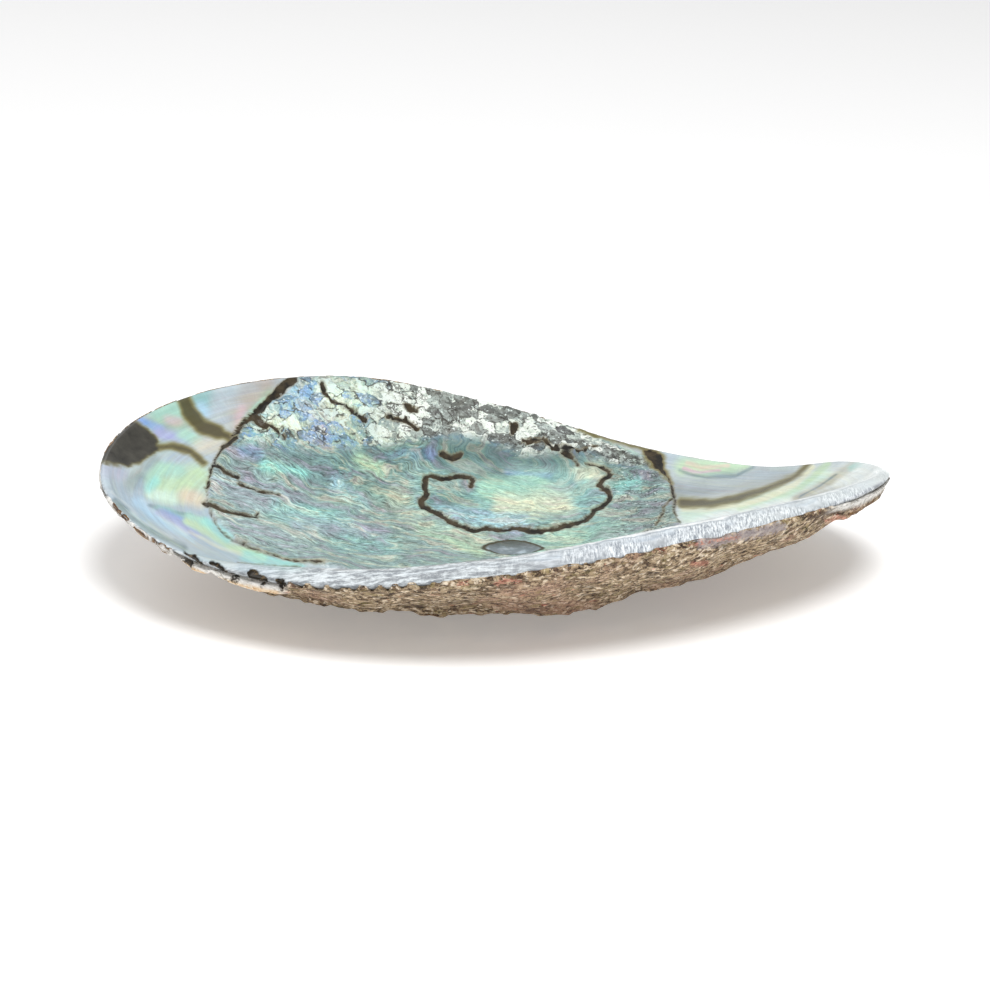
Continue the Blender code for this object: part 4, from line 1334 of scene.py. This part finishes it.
def crust_material():
    made, tree, shader = new_material("crust")
    place = add(tree, "ShaderNodeTexCoord").outputs["Object"]
    along = add(tree, "ShaderNodeVectorMath", {0: place, 1: (0.8, 1.0, 1.1)}, operation="MULTIPLY").outputs[0]
    rumpled = add(tree, "ShaderNodeVectorMath", {
        0: along, 1: add(tree, "ShaderNodeVectorMath", {
            0: noise_vector(tree, place, 700.0), 1: (0.0013, 0.0013, 0.0013),
        }, operation="MULTIPLY").outputs[0],
    }, operation="ADD").outputs[0]
    grain = field(tree, "grain")
    broad = noise_of(tree, place, 70.0, 3, 0.6)
    middle = noise_of(tree, along, 900.0, 5, 0.75, 0.5)
    fine = noise_of(tree, along, 1900.0, 4, 0.75, 0.3)
    off_grain, grain_chance = grains_of(tree, rumpled, 1500.0)
    grain_edge = grains_of(tree, rumpled, 1500.0, "DISTANCE_TO_EDGE")
    middle_share = product(tree, sum_of(tree, middle, 0.5, "SUBTRACT"), 1.5)
    tone_place = sum_of(tree, product(tree, grain_chance, 0.62), sum_of(tree, middle_share, 0.19))
    colour = ramp_of(tree, tone_place, [
        (0.12, (0.24, 0.17, 0.12)), (0.30, (0.49, 0.40, 0.30)), (0.48, (0.67, 0.58, 0.46)),
        (0.68, (0.78, 0.69, 0.56)), (0.86, (0.95, 0.89, 0.80)),
    ])
    pink_share = span(tree, broad, 0.50, 0.66, 0.0, 0.5)
    colour = blend(tree, pink_share, colour, (0.72, 0.56, 0.48))
    olive = noise_of(tree, along, 420.0, 3, 0.6)
    colour = blend(tree, span(tree, olive, 0.55, 0.65, 0.0, 0.4), colour, (0.62, 0.57, 0.35))
    dark = product(tree, span(tree, grain_edge, 0.02, 0.16, 1.0, 0.0), span(tree, middle, 0.56, 0.44))
    dark = sum_of(tree, dark, product(tree, span(tree, fine, 0.38, 0.28), 0.8), "MAXIMUM")
    colour = blend(tree, product(tree, dark, 0.8), colour, (0.13, 0.09, 0.06))
    # Painted shade: the crust is darkened where its grain relief sinks lowest, in its hollows
    hollow_shade = span(tree, grain, -0.2, -0.7)
    colour = blend(tree, product(tree, hollow_shade, 0.5), colour, (0.18, 0.13, 0.09))
    wander = product(tree, sum_of(tree, fine, 0.5, "SUBTRACT"), 22.0)
    lilac = span(tree, sum_of(tree, field(tree, "lilac"), wander), -2.0, 3.0, 0.75, 0.0)
    colour = blend(tree, lilac, colour, blend(tree, middle, (0.48, 0.44, 0.46), (0.84, 0.80, 0.80)))
    stain = span(tree, sum_of(tree, field(tree, "dark_stain"), wander), -1.0, 2.0, 0.8, 0.0)
    colour = blend(tree, stain, colour, (0.26, 0.17, 0.12))
    spots = span(tree, noise_of(tree, place, 330.0, 3, 0.5), 0.66, 0.71)
    salmon = span(tree, sum_of(tree, field(tree, "salmon"), wander), -0.5, 2.0, 1.0, 0.0)
    salmon = sum_of(tree, salmon, spots, "MAXIMUM")
    rust = blend(tree, grain_chance, (0.50, 0.24, 0.17), (0.92, 0.66, 0.56))
    colour = blend(tree, product(tree, salmon, 0.8), colour, rust)

    # Bare, pearly patches at the near left rim and the tip, with tan lobes, brown bars, and pits darkened by
    # painted shade
    bare_tone = ramp_of(tree, middle, [
        (0.32, (0.60, 0.56, 0.50)), (0.42, (0.86, 0.85, 0.82)), (0.54, (0.98, 0.97, 0.95)),
    ])
    colour = blend(tree, field(tree, "bare"), colour, bare_tone)
    tan = ramp_of(tree, fine, [
        (0.34, (0.74, 0.55, 0.38)), (0.48, (0.92, 0.79, 0.62)), (0.60, (0.99, 0.94, 0.85)),
    ])
    colour = blend(tree, field(tree, "lobed"), colour, tan)
    bar_here = span(tree, field(tree, "bar"), -0.4, 0.6, 1.0, 0.0)
    bar_tone = blend(tree, span(tree, fine, 0.4, 0.6), (0.26, 0.15, 0.08), (0.56, 0.42, 0.24))
    colour = blend(tree, bar_here, colour, bar_tone)
    # Painted shade: the near-black in the pits stands for the shade in the holes, mottled with brown
    pit_here = span(tree, sum_of(tree, field(tree, "pit"), product(tree, wander, 0.3)), -0.5, 0.8, 1.0, 0.0)
    pit_shade_tone = blend(tree, span(tree, middle, 0.50, 0.70), (0.12, 0.09, 0.05), (0.38, 0.30, 0.18))
    colour = blend(tree, pit_here, colour, pit_shade_tone)
    tree.links.new(colour, shader.inputs["Base Color"])
    height = sum_of(tree, product(tree, middle, 0.8), product(tree, off_grain, -0.45))
    bump = add(tree, "ShaderNodeBump", {"Height": height, "Strength": 0.85, "Distance": 0.7 * MM})
    tree.links.new(bump.outputs[0], shader.inputs["Normal"])
    tree.links.new(span(tree, fine, 0.3, 0.7, 0.7, 0.95), shader.inputs["Roughness"])
    return made


def plain_material(name, colour, roughness):
    made = bpy.data.materials.new(name)
    made.use_nodes = True
    shader = made.node_tree.nodes["Principled BSDF"]
    shader.inputs["Base Color"].default_value = (*colour, 1)
    shader.inputs["Roughness"].default_value = roughness
    return made


def make_floor():
    bpy.ops.mesh.primitive_plane_add(size=6)
    floor = bpy.context.object
    floor.name = "floor"
    paint = plain_material("pale_floor", (0.9, 0.9, 0.9), 0.6)
    shader = paint.node_tree.nodes["Principled BSDF"]
    shader.inputs["Emission Color"].default_value = (1, 1, 1, 1)
    shader.inputs["Emission Strength"].default_value = FLOOR_GLOW
    floor.data.materials.append(paint)


def area_light(name, location, size, power, aim=(0, 0, 0)):
    data = bpy.data.lights.new(name, "AREA")
    data.shape = "DISK"
    data.size = size
    data.energy = power
    made = bpy.data.objects.new(name, data)
    made.location = location
    made.rotation_euler = (Vector(location) - Vector(aim)).to_track_quat("Z", "Y").to_euler()
    bpy.context.scene.collection.objects.link(made)


def make_light():
    area_light("key", (0.12, -0.36, 0.82), 0.42, 6.6)
    area_light("back", (-0.4, 0.6, 0.7), 0.8, 1.4)
    world = bpy.data.worlds.new("studio")
    world.use_nodes = True
    world.node_tree.nodes["Background"].inputs["Color"].default_value = (1, 1, 1, 1)
    world.node_tree.nodes["Background"].inputs["Strength"].default_value = 0.42
    bpy.context.scene.world = world
    bpy.context.scene.view_settings.view_transform = "Standard"


make_camera()
bores = pore_bores()
finished(make_nacre(), "nacre", bores, nacre_material())
finished(make_crust(), "crust", bores, crust_material())
bpy.data.objects.remove(bores)
make_floor()
make_light()
